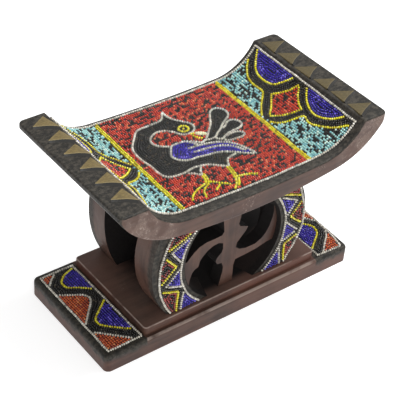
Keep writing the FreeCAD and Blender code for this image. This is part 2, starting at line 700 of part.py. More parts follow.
beads = lay_seat()


# ---------------------------------------------------------------- ring panel bead work
RING_CENTRE = dim("ring_centre")
INNER_STRING = 63.0
OUTER_STRING = 87.2
PATTERN_FOOT = 29.5
PATTERN_HEAD = 133.0
RING_STEPS = 16


def ring_run(radius):
    """Points up the right side of a circle about the ring's centre, over the pattern's height."""
    start, end = (math.degrees(math.asin((z - RING_CENTRE) / radius)) for z in (PATTERN_FOOT, PATTERN_HEAD))
    return arc_points(0, RING_CENTRE, radius, start, end, RING_STEPS)


# The right side of the front panel and both sides of the back panel are carved slimmer, so
# their outer string follows this line, from its foot to its head, instead of the round one.
SLIM_OUTER = [(66.4, PATTERN_FOOT), (69.9, 35.7), (76.2, 44.8), (80.9, 54.6), (84.9, 66.2), (86.2, 77.7),
              (85.1, 90.9), (81.3, 104.6), (77.1, 117.5), (72.6, 126), (67.5, PATTERN_HEAD)]
BLUE_POINTS = [[(56, 114), (74.5, 104), (64.5, 89.8)], [(65, 79.6), (79.5, 65.3), (62.2, 58.2)]]
BLUE_FOOT = [(58.5, 49), (60.5, PATTERN_FOOT)]
RED_POINTS = [[(80.3, 99), (68.8, 85.3), (84.3, 71.4)], [(81.4, 59.5), (64.7, 53), (65.5, PATTERN_FOOT)]]
RED_HEAD = [(55, 118.5), (78, 108.5)]


def between_heights(run, low, high):
    """The part of a rising run of points between two heights."""
    cut = []
    for (x0, z0), (x1, z1) in zip(run, run[1:]):
        for level in (low, high):
            if z0 < level < z1:
                cut.append((x0 + (x1 - x0) * (level - z0) / (z1 - z0), level))
    return sorted(cut + [place for place in run if low <= place[1] <= high], key=lambda place: place[1])


def flip(points):
    return [(-x, z) for x, z in points]


def lay_panel(name, side):
    """Two crescents of triangles, one each side of the ring."""
    turn = Rotation(Vector(1, 0, 0), 90)
    if side == BACK:
        turn = Rotation(Vector(0, 0, 1), 180).multiply(turn)
    face = Placement(Vector(0, side * dim("panel_front"), 0), turn)
    ground = Ground(None, face, Vector(0, side, 0), BEAD)
    inner = ring_run(INNER_STRING)
    left_outer = ring_run(OUTER_STRING) if side == FRONT else SLIM_OUTER
    white = []
    yellow = []
    blue = []
    red = []
    black = []
    for place, outer in ((list, SLIM_OUTER), (flip, left_outer)):
        white += [string_loops(place(run)) for run in [inner, outer, BLUE_FOOT] + BLUE_POINTS]
        yellow += [string_loops(place(run)) for run in [RED_HEAD] + RED_POINTS]
        blue.append([place(BLUE_FOOT + between_heights(inner, PATTERN_FOOT, BLUE_FOOT[0][1]))])
        for points in BLUE_POINTS:
            blue.append([place(points + between_heights(inner, points[2][1], points[0][1]))])
        head = between_heights(inner, RED_HEAD[0][1], PATTERN_HEAD)
        red.append([place(RED_HEAD + between_heights(outer, RED_HEAD[1][1], PATTERN_HEAD) + head[::-1])])
        for points in RED_POINTS:
            red.append([place(points + between_heights(outer, points[2][1], points[0][1]))])
        black.append([place(inner + outer[::-1])])
    return [ground.lay(name + "_white_strings", white), ground.lay(name + "_yellow_strings", yellow),
            ground.lay(name + "_blue_triangles", blue), ground.lay(name + "_red_triangles", red),
            ground.lay(name + "_black_fields", black)]


beads += lay_panel("front", FRONT)
beads += lay_panel("back", BACK)


# ---------------------------------------------------------------- base end bead work
# The two ends were beaded by hand and differ a little. Each has its white border, the white
# strings round the orange bays, the yellow ones round the blue bays, and the border corners
# that close the orange bays. Both are given as they would be at the right end.
RIGHT_END = (
    [(146, 59), (145.5, -15), (143, -45), (140, -62.5), (110, -61.5), (110.8, -28), (109, 59)],
    [[(144.5, 45), (136, 52), (129, 58)],
     [(144.5, 31), (130, 24), (122, 19), (119.5, 12), (123, 6), (130, -1), (137, -8), (144.5, -19)],
     [(142.5, -35.5), (137.4, -43.3), (127.8, -51.6), (119, -60)]],
    [[(110, 56), (122, 51), (129, 45), (131.5, 40), (130, 34), (121, 28), (110, 19)],
     [(110, 2), (122, -9), (129.7, -15.8), (134.5, -21.5), (135.3, -28), (132, -35), (124, -41.5),
      (112, -50.5)]],
    [[(145, 58)], [], [(139.5, -61.5)]])
LEFT_END = (
    [(144, 59), (144, -59.5), (106.5, -59.5), (108, 59)],
    [[(143, 45), (136, 52), (129, 58)],
     [(143, 30), (130, 22), (122, 17), (119, 10), (122, 4), (130, -5), (143, -20)],
     [(143, -31), (132, -41), (122, -51), (114.5, -58.5)]],
    [[(109, 56), (122, 51), (129, 45), (130.6, 40), (129, 34), (120, 28), (109, 19)],
     [(108, 1), (122, -10), (129, -16), (131.4, -22), (130, -28), (122, -36), (108, -47.5)]],
    [[(143, 58)], [], [(143, -58.5)]])


def lay_base_end(name, place, tables):
    """Serpentine of black beads between blue and orange bays, in a white border."""
    border, orange_runs, blue_runs, corners = tables
    ground = Ground(None, Placement(Vector(0, 0, slab_top), Rotation()), Vector(0, 0, 1), BEAD)
    white = [string_loops(place(border), closed=True)]
    white += [string_loops(place(run)) for run in orange_runs]
    bays = [[place(run + corner)] for run, corner in zip(orange_runs, corners)]
    return [ground.lay(name + "_white_strings", white),
            ground.lay(name + "_yellow_strings", [string_loops(place(run)) for run in blue_runs]),
            ground.lay(name + "_blue_bays", [[place(run)] for run in blue_runs]),
            ground.lay(name + "_orange_bays", bays),
            ground.lay(name + "_black_serpentine", [[place(border)]])]


beads += lay_base_end("base_right", list, RIGHT_END)
beads += lay_base_end("base_left", flip, LEFT_END)


# ---------------------------------------------------------------- checks and files
for item in doc.Objects:
    if "Invalid" in item.State or "Error" in item.State:
        raise RuntimeError(item.Name + " failed")
pieces = wood + triangles + beads
for piece in pieces:
    if piece.Shape.isNull() or not piece.Shape.isValid():
        raise RuntimeError(piece.Label + " has no valid shape")
for piece in pieces:
    piece.Shape.exportStep("parts/%s.step" % piece.Label)
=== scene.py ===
import math

import bmesh
import bpy
import numpy as np
from mathutils import Matrix, Vector


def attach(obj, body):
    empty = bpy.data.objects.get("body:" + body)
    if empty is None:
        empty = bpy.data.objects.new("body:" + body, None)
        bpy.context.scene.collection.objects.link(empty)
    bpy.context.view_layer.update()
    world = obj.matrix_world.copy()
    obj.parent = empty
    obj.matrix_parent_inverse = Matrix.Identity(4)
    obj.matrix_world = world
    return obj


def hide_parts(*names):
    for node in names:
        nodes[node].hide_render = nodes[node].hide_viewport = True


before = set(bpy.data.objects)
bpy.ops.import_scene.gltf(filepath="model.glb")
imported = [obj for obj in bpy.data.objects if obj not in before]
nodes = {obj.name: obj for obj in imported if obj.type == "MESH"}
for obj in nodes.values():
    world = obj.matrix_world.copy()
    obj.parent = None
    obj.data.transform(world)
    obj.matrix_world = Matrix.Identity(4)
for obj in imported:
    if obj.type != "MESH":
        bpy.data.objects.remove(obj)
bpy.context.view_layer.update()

# A carved stool with glass bead work. Places are worked out in millimetres in the CAD frame and
# turned into metres when a mesh is made. Places in the wood's materials are in metres.
MM = 0.001
rng = np.random.default_rng(11)


# ---- colours and materials
def srgb(red, green, blue):
    """Linear colour from 0 to 255 screen values."""
    def linear(value):
        value = value / 255
        return value / 12.92 if value <= 0.04045 else ((value + 0.055) / 1.055) ** 2.4
    return (linear(red), linear(green), linear(blue), 1.0)


# Each bead colour is a few close shades of glass, as one hank of beads is. The lighter shades are partly
# painted highlights: light beads scattered among the rest stand in for glints on the glass.
BEAD_COLOURS = {
    "white": [(210, 204, 190), (178, 172, 160), (236, 232, 222), (140, 134, 124)],
    "cream": [(226, 226, 186), (214, 212, 168)],
    "yellow": [(228, 216, 26), (200, 180, 18), (240, 232, 84), (158, 142, 24)],
    "red": [(206, 60, 36), (172, 40, 28), (232, 116, 72), (110, 28, 22)],
    "maroon": [(146, 36, 32), (114, 26, 26), (178, 62, 48), (78, 20, 20)],
    "orange": [(206, 92, 38), (174, 66, 32), (226, 136, 76), (110, 46, 24)],
    "blue": [(54, 38, 162), (38, 27, 132), (112, 98, 218), (24, 16, 84)],
    "turquoise": [(168, 218, 214), (124, 186, 192), (216, 238, 226), (84, 136, 146)],
    "black": [(26, 24, 19), (16, 15, 12), (72, 64, 50)],
}
DULL_GLASS = ("black", "blue")      # these shine less
SLOTS = {colour: colour + "_beads" for colour in BEAD_COLOURS}
SLOTS["maroon"] = "red_beads"


def principled(name):
    material = bpy.data.materials.new(name)
    material.use_nodes = True
    return material, material.node_tree.nodes["Principled BSDF"]


def plain_material(name, colour, roughness, **settings):
    """A material of fixed values. Further settings are named with _ in place of spaces."""
    material, shader = principled(name)
    shader.inputs["Base Color"].default_value = colour
    shader.inputs["Roughness"].default_value = roughness
    for key, value in settings.items():
        shader.inputs[key.replace("_", " ")].default_value = value
    return material


glass = {colour: [plain_material("glass_%s_%d" % (colour, index), srgb(*shade), 0.25, IOR=1.52,
                                 Coat_Weight=0.5 if colour in DULL_GLASS else 0.9, Coat_Roughness=0.1)
                  for index, shade in enumerate(shades)]
         for colour, shades in BEAD_COLOURS.items()}


class Tree:
    """Short calls for building a node material."""

    def __init__(self, name):
        self.material, self.shader = principled(name)
        self.tree = self.material.node_tree
        self.place = self.node("ShaderNodeTexCoord").outputs["Object"]
        self.x, self.y, self.z = self.axes(self.place)
        self.facing = self.axes(self.node("ShaderNodeNewGeometry").outputs["Normal"])

    def node(self, kind, **settings):
        node = self.tree.nodes.new(kind)
        for key, value in settings.items():
            setattr(node, key, value)
        return node

    def wire(self, value, socket):
        if isinstance(value, bpy.types.NodeSocket):
            self.tree.links.new(value, socket)
        else:
            socket.default_value = value

    def math(self, operation, first, second=0.0, clamp=False):
        node = self.node("ShaderNodeMath", operation=operation, use_clamp=clamp)
        self.wire(first, node.inputs[0])
        self.wire(second, node.inputs[1])
        return node.outputs[0]

    def plus(self, first, second, clamp=False):
        return self.math("ADD", first, second, clamp)

    def times(self, first, second, clamp=False):
        return self.math("MULTIPLY", first, second, clamp)

    def larger(self, first, second):
        return self.math("MAXIMUM", first, second)

    def size(self, value):
        return self.math("ABSOLUTE", value)

    def rest(self, value):
        """What is left of 1."""
        return self.math("SUBTRACT", 1.0, value)

    def axes(self, vector):
        node = self.node("ShaderNodeSeparateXYZ")
        self.wire(vector, node.inputs[0])
        return node.outputs

    def noise(self, scale, detail=3.0, roughness=0.55, distortion=0.0):
        """Cloudy pattern. The scale is in features a metre, one number or one for each axis."""
        place = self.node("ShaderNodeMapping")
        self.wire(self.place, place.inputs["Vector"])
        place.inputs["Scale"].default_value = scale if isinstance(scale, list) else [scale] * 3
        node = self.node("ShaderNodeTexNoise")
        self.wire(place.outputs[0], node.inputs["Vector"])
        node.inputs["Scale"].default_value = 1.0
        node.inputs["Detail"].default_value = detail
        node.inputs["Roughness"].default_value = roughness
        node.inputs["Distortion"].default_value = distortion
        return node.outputs["Fac"]

    def between(self, value, low, high):
        """0 below low, 1 above high and smooth between."""
        node = self.node("ShaderNodeMapRange", interpolation_type="SMOOTHSTEP")
        self.wire(value, node.inputs["Value"])
        node.inputs["From Min"].default_value = low
        node.inputs["From Max"].default_value = high
        return node.outputs[0]

    def mix(self, share, first, second):
        node = self.node("ShaderNodeMix", data_type="RGBA")
        self.wire(share, node.inputs["Factor"])
        self.wire(first, node.inputs["A"])
        self.wire(second, node.inputs["B"])
        return node.outputs["Result"]

    def finish(self, colour, roughness, height, distance):
        """The material, with its surface raised by height times the distance in metres."""
        bump = self.node("ShaderNodeBump")
        bump.inputs["Distance"].default_value = distance
        self.wire(height, bump.inputs["Height"])
        self.wire(colour, self.shader.inputs["Base Color"])
        self.wire(roughness, self.shader.inputs["Roughness"])
        self.wire(bump.outputs[0], self.shader.inputs["Normal"])
        return self.material


DARK_WOOD = srgb(50, 34, 28)
MID_WOOD = srgb(84, 60, 49)
RED_WOOD = srgb(98, 58, 47)
# Pale wear, which on the base's upper edges and the block's top is also a painted highlight.
PALE_WEAR_AND_HIGHLIGHT = srgb(156, 140, 130)
BLACK_PAINT = srgb(24, 22, 18)
WORN_PAINT = srgb(68, 63, 55)
# Near black for painted shade on the inner faces, in the openings and between the panels.
PAINTED_SHADE = srgb(15, 10, 9)


def wood_material(name, grain, redness, wear, paint=None, scuffs=None, rubbed_and_highlit=None, shade=None):
    """Dark stained carved wood. grain is the axis that the fibres follow: 0 is X and 2 is Z.
    The last four arguments take the tree and give, from 0 to 1 and in their order, where black paint,
    scratched places, evenly worn places that also carry a painted highlight, and painted shade are."""
    t = Tree(name)
    stretch = [170.0] * 3
    stretch[grain] = 9.0
    fibres = t.noise(stretch, detail=4.0, distortion=0.5)
    fine_stretch = [1100.0] * 3
    fine_stretch[grain] = 55.0
    fine = t.noise(fine_stretch, detail=2.0)
    cloud = t.noise(20.0)
    red_cloud = t.noise([13.0, 17.0, 15.0], detail=2.0)
    tone = t.plus(t.times(fibres, 0.4), t.times(cloud, 0.6))
    body = t.mix(t.between(tone, 0.36, 0.62), DARK_WOOD, MID_WOOD)
    body = t.mix(t.times(t.between(red_cloud, 0.30, 0.62), redness), body, RED_WOOD)
    body = t.mix(t.times(t.between(fine, 0.5, 0.8), 0.12), body, DARK_WOOD)
    scratch = t.between(t.noise([360.0, 700.0, 260.0], detail=4.0, roughness=0.7, distortion=1.8), 0.54, 0.66)
    scuff_area = t.between(t.noise([30.0, 30.0, 26.0], detail=2.0), 0.62, 0.74)
    scuff = t.times(t.times(scuff_area, scratch), wear, clamp=True)
    if scuffs:
        scuff = t.plus(scuff, t.times(scuffs(t), t.plus(scratch, 0.25)), clamp=True)
    body = t.mix(t.times(scuff, 0.75), body, PALE_WEAR_AND_HIGHLIGHT)
    # Worn places that also carry a painted highlight are made paler.
    if rubbed_and_highlit:
        body = t.mix(t.times(rubbed_and_highlit(t), 0.7), body, PALE_WEAR_AND_HIGHLIGHT)
    rough = t.plus(t.plus(t.times(cloud, 0.2), 0.38), t.times(scuff, 0.25))
    tool_marks = t.noise(55.0, detail=1.5)
    height = t.plus(t.plus(t.times(fibres, 0.35), t.times(fine, 0.12)), t.times(tool_marks, 1.3))
    if paint:
        share = paint(t)
        brush = t.noise([230.0, 300.0, 260.0], detail=5.0, roughness=0.75)
        body = t.mix(share, body, t.mix(t.between(brush, 0.40, 0.68), BLACK_PAINT, WORN_PAINT))
        rough = t.plus(rough, t.times(share, 0.14))
        height = t.plus(height, t.times(share, t.times(brush, 0.9)))
    # Painted shade: where the mask says, the wood goes near black and rougher.
    if shade:
        dark = shade(t)
        body = t.mix(dark, body, PAINTED_SHADE)
        rough = t.plus(rough, t.times(dark, 0.35), clamp=True)
    t.shader.inputs["Coat Weight"].default_value = 0.0 if shade else 0.06
    t.shader.inputs["Coat Roughness"].default_value = 0.3
    t.shader.inputs["Specular IOR Level"].default_value = 0.3
    return t.finish(body, rough, height, 0.0006)


def ragged(t, value, low, high, amount=0.2, scale=160.0):
    """A soft limit with a brushed, uneven edge."""
    rag = t.times(t.math("SUBTRACT", t.noise(scale, detail=4.0), 0.5), amount)
    return t.between(t.plus(value, rag), low, high)


def seat_paint(t):
    """Black on the top, over its edges, and all over the two ends."""
    top = ragged(t, t.facing[2], 0.20, 0.42, amount=0.5)
    end = ragged(t, t.size(t.facing[0]), 0.60, 0.75)
    return t.larger(top, t.times(end, t.between(t.size(t.x), 0.120, 0.128)))


def seat_scuffs(t):
    """Rubbed places on the front edge, where the seat turns up at its ends."""
    forward = t.between(t.times(t.facing[1], -1.0), 0.5, 0.8)
    turned_up = t.between(t.size(t.x), 0.085, 0.105)
    worn = t.between(t.noise(60.0), 0.36, 0.58)
    return t.times(forward, t.times(turned_up, worn))


def slab_paint(t):
    """Black round the beaded ends of the slab, on the top and over the edges."""
    end = ragged(t, t.size(t.x), 0.1035, 0.1050, amount=0.004)
    return t.times(end, ragged(t, t.z, 0.0085, 0.0150, amount=0.016, scale=70.0))


def panel_paint(t):
    """Black on the outward faces, round the bead work, and brushed over onto the sides."""
    face = ragged(t, t.size(t.facing[1]), 0.80, 0.95, amount=0.3)
    over = ragged(t, t.size(t.y), 0.0450, 0.0515, amount=0.012, scale=70.0)
    return t.larger(face, t.times(over, 0.85))


def facing_out(t):
    """How far a face is turned away from the space between the two panels, from -1 to 1."""
    return t.times(t.facing[1], t.math("SIGN", t.y))


def symbol_shade(t):
    """Painted shade on all but the outward face of the symbol, which was cut through from there."""
    return t.rest(t.times(t.between(facing_out(t), 0.1, 0.75), 0.97))


def hollow_shade(t):
    """Painted shade on the inner faces and round the wall of the opening, which narrows inwards."""
    rise = t.math("SUBTRACT", t.z, RING_CENTRE * MM)
    reach = t.math("SQRT", t.plus(t.times(t.x, t.x), t.times(rise, rise)))
    inward = t.math("SUBTRACT", PANEL_FACE * MM, t.size(t.y))
    in_hole = t.rest(t.between(t.plus(reach, t.times(inward, OPENING_SLOPE)), 0.0576, 0.0583))
    return t.larger(t.times(in_hole, 0.92), t.between(facing_out(t), -0.3, -0.7))


def block_shade(t):
    """Painted shade on the block between the panels, but not at its left end or its right front."""
    within = t.rest(t.between(t.size(t.y), 0.044, 0.055))
    right_limit = t.rest(t.times(t.between(t.x, 0.055, 0.080), t.between(t.y, 0.005, -0.015)))
    return t.times(within, t.times(t.between(t.x, -0.080, -0.055), right_limit))


def worn_and_highlit_edges(t):
    """Pale line along the upper edges of the base, broken here and there: wear, and a painted highlight where
    the light catches these edges.
    """
    up = t.facing[2]
    line = t.times(t.between(up, 0.3, 0.5), t.rest(t.between(up, 0.93, 0.995)))
    return t.times(line, t.between(t.noise(40.0, detail=4.0), 0.30, 0.52))


def block_wear_and_highlight(t):
    """The block's top is also painted a little paler all over: some wear, and a painted highlight where the
    light falls on it.
    """
    return t.larger(t.times(t.between(t.facing[2], 0.92, 0.99), 0.17), worn_and_highlit_edges(t))


def show_with(node, material, bevel=0.0):
    """The carried-over node gets its finish, and a worn soft edge where it has sharp ones."""
    item = nodes[node]
    for slot in item.material_slots:
        slot.link = "OBJECT"
        slot.material = material
    if bevel:
        soft = item.modifiers.new("worn_edges", "BEVEL")
        soft.width = bevel * MM
        soft.segments = 2
        soft.limit_method = "ANGLE"
        soft.angle_limit = math.radians(38)
        soft.harden_normals = True


RING_CENTRE = 78.5
PANEL_FACE = 56.0
OPENING_SLOPE = 3.5 / 27.5       # how fast the opening narrows
LENGTHWAYS = 0
UPRIGHT = 2
show_with("seat", wood_material("seat_wood", LENGTHWAYS, redness=0.12, wear=0.8, paint=seat_paint,
                                scuffs=seat_scuffs))
panel_wood = wood_material("panel_wood", UPRIGHT, redness=0.2, wear=0.2, paint=panel_paint,
                           shade=hollow_shade)
show_with("front_ring_panel", panel_wood, bevel=0.5)
show_with("back_ring_panel", panel_wood, bevel=0.5)
symbol_wood = wood_material("symbol_wood", UPRIGHT, redness=0.15, wear=0.3, shade=symbol_shade)
show_with("front_symbol", symbol_wood, bevel=0.6)
show_with("back_symbol", symbol_wood, bevel=0.6)
show_with("base_slab", wood_material("slab_wood", LENGTHWAYS, redness=0.3, wear=0.6, paint=slab_paint,
                                     rubbed_and_highlit=worn_and_highlit_edges))
show_with("base_block", wood_material("block_wood", LENGTHWAYS, redness=0.55, wear=0.6, rubbed_and_highlit=block_wear_and_highlight,
                                      shade=block_shade))


# ---- surfaces that beads lie on
SEAT_CENTRE, SEAT_RADIUS, BEND_X, CREST_X, RIM_Z = 162.5, 1520.0, 76.0, 122.5, 194.6


class SeatSurface:
    """The seat's top. u is the length along its curve from the centre and v is the depth."""

    def __init__(self):
        self.bend = math.asin(BEND_X / SEAT_RADIUS)
        run = CREST_X - BEND_X
        bend_z = SEAT_CENTRE + SEAT_RADIUS * (1 - math.cos(self.bend))
        rise = RIM_Z - bend_z
        down = rise * math.cos(self.bend) - run * math.sin(self.bend)
        self.end_radius = (run ** 2 + rise ** 2) / (2 * down)
        self.end_x = BEND_X - self.end_radius * math.sin(self.bend)
        self.end_z = bend_z + self.end_radius * math.cos(self.bend)

    def place(self, u, v, lift):
        """Places lifted off the surface, and the directions of u, v and lift there."""
        first = SEAT_RADIUS * self.bend
        reach = np.abs(u)
        middle = reach <= first
        turn = np.where(middle, reach / SEAT_RADIUS, self.bend + (reach - first) / self.end_radius)
        radius = np.where(middle, SEAT_RADIUS, self.end_radius) - lift
        side = np.sign(u) + (u == 0)
        x = np.where(middle, 0.0, self.end_x) + radius * np.sin(turn)
        z = np.where(middle, SEAT_CENTRE + SEAT_RADIUS, self.end_z) - radius * np.cos(turn)
        zero = np.zeros_like(turn)
        along = np.stack([np.cos(turn), zero, side * np.sin(turn)], 1)
        out = np.stack([-side * np.sin(turn), zero, np.cos(turn)], 1)
        return np.stack([side * x, v, z], 1), along, np.array([0.0, 1.0, 0.0]), out


class FlatSurface:
    """A flat face given by a point on it and its two directions."""

    def __init__(self, start, across, up):
        self.start = np.array(start, float)
        self.across = np.array(across, float)
        self.up = np.array(up, float)
        self.out = np.cross(self.across, self.up)

    def place(self, u, v, lift):
        point = self.start + np.outer(u, self.across) + np.outer(v, self.up) + np.outer(lift, self.out)
        return point, self.across, self.up, self.out


# ---- bead strings and rows
PITCH = 2.42          # spacing of the beads along a string
ROW = 2.5             # spacing of rows laid side by side
CELL = 0.25           # cell of the map that keeps account of what is laid
FAR = 99.0
MOST_BEADS = 1900     # most beads in one mesh
STRING_GAP = 1.75     # least distance from a string's bead to the beads laid before it
FIELD_GAP = 1.9       # least distance from a field's bead to the beads laid before it
FIELD_EDGE = 2.1      # least distance from a field's bead to a string's line
HOLE = 2.15           # a place this far from every bead gets a bead of its own
BEAD_REACH = 4.0      # how far round a bead its distances are kept
STRING_REACH = 34.0   # how far round a string its distances are kept
DOUBLE_REACH = 6.0    # and round a double one
FINE_STEP = 0.5       # step along a string for those distances
LOOK_AHEAD = 0.6      # how far along a run its direction is measured
SCATTER = 0.08        # spread of the beads' places and lift, and of their tilt
TURN_SCATTER = 0.10
SIZE_SCATTER = 0.035
LENGTH_SCATTER = 0.07
SHADE_SPREAD = 1.25   # the larger, the more beads take one of the rarer shades


def rounded(pts, closed):
    """The run as a smooth line through its points."""
    before, after = (pts[-1:], pts[:2]) if closed else (pts[:1], pts[-1:])
    knots = np.vstack([before, pts, after])
    p0, p1, p2, p3 = (knots[start:len(knots) - 3 + start, None] for start in range(4))
    t = np.arange(0, 1, 0.1)[:, None]
    fine = 0.5 * ((2 * p1) + (p2 - p0) * t + (2 * p0 - 5 * p1 + 4 * p2 - p3) * t ** 2
                  + (3 * p1 - p0 - 3 * p2 + p3) * t ** 3)
    return np.vstack([fine.reshape(-1, 2), pts[:0] if closed else pts[-1:]])


def resample(points, step, closed=False, smooth=False):
    """Evenly spaced points along a run, and its direction at each."""
    pts = np.array(points, float)
    if smooth:
        pts = rounded(pts, closed)
    if closed:
        pts = np.vstack([pts, pts[:1]])
    lengths = np.hypot(*np.diff(pts, axis=0).T)
    total = lengths.sum()
    places = np.concatenate([[0], np.cumsum(lengths)])
    count = max(int(round(total / step)), 1)
    at = np.arange(count) * total / count if closed else np.linspace(0, total, count + 1)
    here, ahead, behind = ([np.interp(np.clip(at + shift, 0, total), places, column) for column in pts.T]
                           for shift in (0, LOOK_AHEAD, -LOOK_AHEAD))
    return np.stack(here, 1), np.arctan2(ahead[1] - behind[1], ahead[0] - behind[0])


def sideways(points, distance, closed=False):
    """The run moved sideways, with mitred corners."""
    pts = np.array(points, float)
    before = np.roll(pts, 1, 0) if closed else np.vstack([2 * pts[0] - pts[1], pts[:-1]])
    after = np.roll(pts, -1, 0) if closed else np.vstack([pts[1:], 2 * pts[-1] - pts[-2]])
    first = (pts - before) / np.hypot(*(pts - before).T)[:, None]
    last = (after - pts) / np.hypot(*(after - pts).T)[:, None]
    mean = (np.stack([-first[:, 1], first[:, 0]], 1) + np.stack([-last[:, 1], last[:, 0]], 1)) / 2
    return pts + distance * mean / np.maximum((mean ** 2).sum(1), 0.35)[:, None]


def inside(points, u, v):
    """Which of the places (u, v) lie in a closed outline."""
    pts = np.array(points, float)
    result = np.zeros(u.shape, bool)
    for (x0, y0), (x1, y1) in zip(pts, np.roll(pts, -1, 0)):
        if y0 != y1:
            crosses = (v > min(y0, y1)) & (v <= max(y0, y1))
            result ^= crosses & (u < x0 + (v - y0) * (x1 - x0) / (y1 - y0))
    return result


def wander(u, v):
    """Small unevenness of hand work, in millimetres across and along."""
    return (0.22 * np.sin(u / 9.0 + v / 23.0) + 0.16 * np.sin(v / 5.0 - u / 17.0),
            0.22 * np.sin(v / 8.0 + u / 19.0) + 0.16 * np.sin(u / 6.0 + v / 13.0))


def sway(along, level):
    """The slow bend of a row of beads."""
    return level + 0.5 * np.sin(along / 21.0 + level / 30.0)


class Ground:
    """A surface with a map of the beads laid on it, so that no two lie in one place."""

    def __init__(self, surface, low, high):
        self.surface = surface
        self.u = np.arange(low[0], high[0], CELL)
        self.v = np.arange(low[1], high[1], CELL)
        self.uu, self.vv = np.meshgrid(self.u, self.v, indexing="ij")
        self.to_bead = np.full(self.uu.shape, FAR)
        self.to_string = np.full(self.uu.shape, FAR)
        self.taken = np.zeros(self.uu.shape, bool)

    def cell(self, u, v):
        i = np.clip(np.rint((u - self.u[0]) / CELL).astype(int), 0, len(self.u) - 1)
        j = np.clip(np.rint((v - self.v[0]) / CELL).astype(int), 0, len(self.v) - 1)
        return i, j

    def stamp(self, chart, points, reach):
        """Lowers a distance chart round each point."""
        span = int(reach / CELL)
        for u, v in points:
            i, j = self.cell(u, v)
            a, b = slice(max(i - span, 0), i + span + 1), slice(max(j - span, 0), j + span + 1)
            near = np.hypot(self.uu[a, b] - u, self.vv[a, b] - v)
            np.minimum(chart[a, b], near, out=chart[a, b])

    def string(self, points, closed=False, smooth=False, rows=1):
        """One or more rows of beads along a run, kept off what is already laid."""
        laid = []
        for row in range(rows):
            shift = (row - (rows - 1) / 2) * ROW
            run = sideways(points, shift, closed) if shift else points
            places, turns = resample(run, PITCH, closed, smooth)
            dense, _ = resample(run, FINE_STEP, closed, smooth)
            for (u, v), turn in zip(places, turns):
                i, j = self.cell(u, v)
                if self.to_bead[i, j] > STRING_GAP and not self.taken[i, j]:
                    laid.append((u, v, turn))
                    self.stamp(self.to_bead, [(u, v)], BEAD_REACH)
            i, j = self.cell(dense[:, 0], dense[:, 1])
            self.stamp(self.to_string, dense[~self.taken[i, j]], STRING_REACH if rows == 1 else DOUBLE_REACH)
        return laid

    def fill(self, outlines, kind):
        """Rows of beads over the free part of the outlines: "along" u, "across" it or "round" the
        strings."""
        whole = np.zeros(self.uu.shape, bool)
        for outline in outlines:
            whole |= inside(outline, self.uu, self.vv)
        free = whole & ~self.taken & (self.to_string > FIELD_EDGE) & (self.to_bead > FIELD_GAP)
        self.taken |= whole
        if not free.any():
            return []
        laid = self.round_rows(free) if kind == "round" else self.straight_rows(free, kind == "along")
        self.stamp(self.to_bead, [(u, v) for u, v, _ in laid], BEAD_REACH)
        return laid + self.close_gaps(free, kind)

    def straight_rows(self, free, along):
        laid = []
        mask = free if along else free.T
        us, vs = (self.u, self.v) if along else (self.v, self.u)
        hit = np.nonzero(mask.any(0))[0]
        first, last = vs[hit[0]], vs[hit[-1]]
        count = max(int(round((last - first) / ROW)), 1)
        for row in range(count + 1):
            level = first + (last - first) * row / count
            j = np.clip(np.rint((sway(us, level) - vs[0]) / CELL).astype(int), 0, len(vs) - 1)
            line = mask[np.arange(len(us)), j]
            edges = np.flatnonzero(np.diff(np.concatenate([[0], line.astype(int), [0]])))
            for start, stop in zip(edges[::2], edges[1::2]):
                a, b = us[start], us[stop - 1]
                number = int((b - a) / (PITCH * 0.93))
                spots = np.linspace(a, b, number + 1) if number else np.array([(a + b) / 2])
                laid += [(spot, side, 0.0) if along else (side, spot, math.pi / 2)
                         for spot, side in zip(spots, sway(spots, level))]
        return laid

    def round_rows(self, free):
        """Rows that follow the strings round the field, each a row's width further in."""
        laid = []
        chart = np.where(free, self.to_string, 0.0)
        slope_u, slope_v = np.gradient(self.to_string, CELL)
        for level in np.arange(ROW, chart.max() + ROW, ROW):
            i, j = np.nonzero(free & (np.abs(self.to_string - level) < 0.2))
            if not len(i):
                continue
            spots = np.stack([self.u[i], self.v[j]], 1)
            turns = np.arctan2(slope_v[i, j], slope_u[i, j]) + math.pi / 2
            left = np.ones(len(spots), bool)
            own = []
            here = None
            while left.any():
                if here is None:
                    here = np.flatnonzero(left)[0]
                own.append(here)
                gap = np.hypot(*(spots - spots[here]).T)
                left &= gap >= PITCH * 0.95
                near = np.flatnonzero(left & (gap < PITCH * 1.25))
                here = near[np.argmin(gap[near])] if len(near) else None
            laid += [(spots[k][0], spots[k][1], turns[k]) for k in own]
        return laid

    def close_gaps(self, free, kind):
        """Single beads where a hole was left in a field."""
        added = []
        i, j = np.nonzero(free)
        slope_u, slope_v = np.gradient(self.to_string, CELL)
        turns = np.arctan2(slope_v[i, j], slope_u[i, j]) + math.pi / 2
        if kind != "round":
            turns[:] = 0.0 if kind == "along" else math.pi / 2
        while True:
            gaps = self.to_bead[i, j]
            k = int(np.argmax(gaps))
            if gaps[k] < HOLE:
                return added
            u, v = self.u[i[k]], self.v[j[k]]
            added.append((u, v, turns[k]))
            self.stamp(self.to_bead, [(u, v)], BEAD_REACH)


# One bead: a short barrel with rounded ends and a hole. Rings are (place along it, radius),
# as shares of its half length and its radius; the last ring is the waist of the hole.
RINGS = np.array([(-1.0, 0.40), (-0.74, 0.79), (-0.3, 0.99), (0.3, 0.99), (0.74, 0.79), (1.0, 0.40),
                  (0.0, 0.3)])
SIDES = 10
KEEP_COLOUR = 0.18    # chance that a bead has the colour of the one before it on its string


def mixed_colours(count, mixture):
    """Which colour of the mixture each bead takes, in short runs along its string."""
    shares = np.cumsum([share for _, share in mixture])
    fresh = np.searchsorted(shares, rng.uniform(0, shares[-1], count), side="right")
    kept = rng.uniform(0, 1, count) < KEEP_COLOUR
    for index in range(1, count):
        if kept[index]:
            fresh[index] = fresh[index - 1]
    return fresh


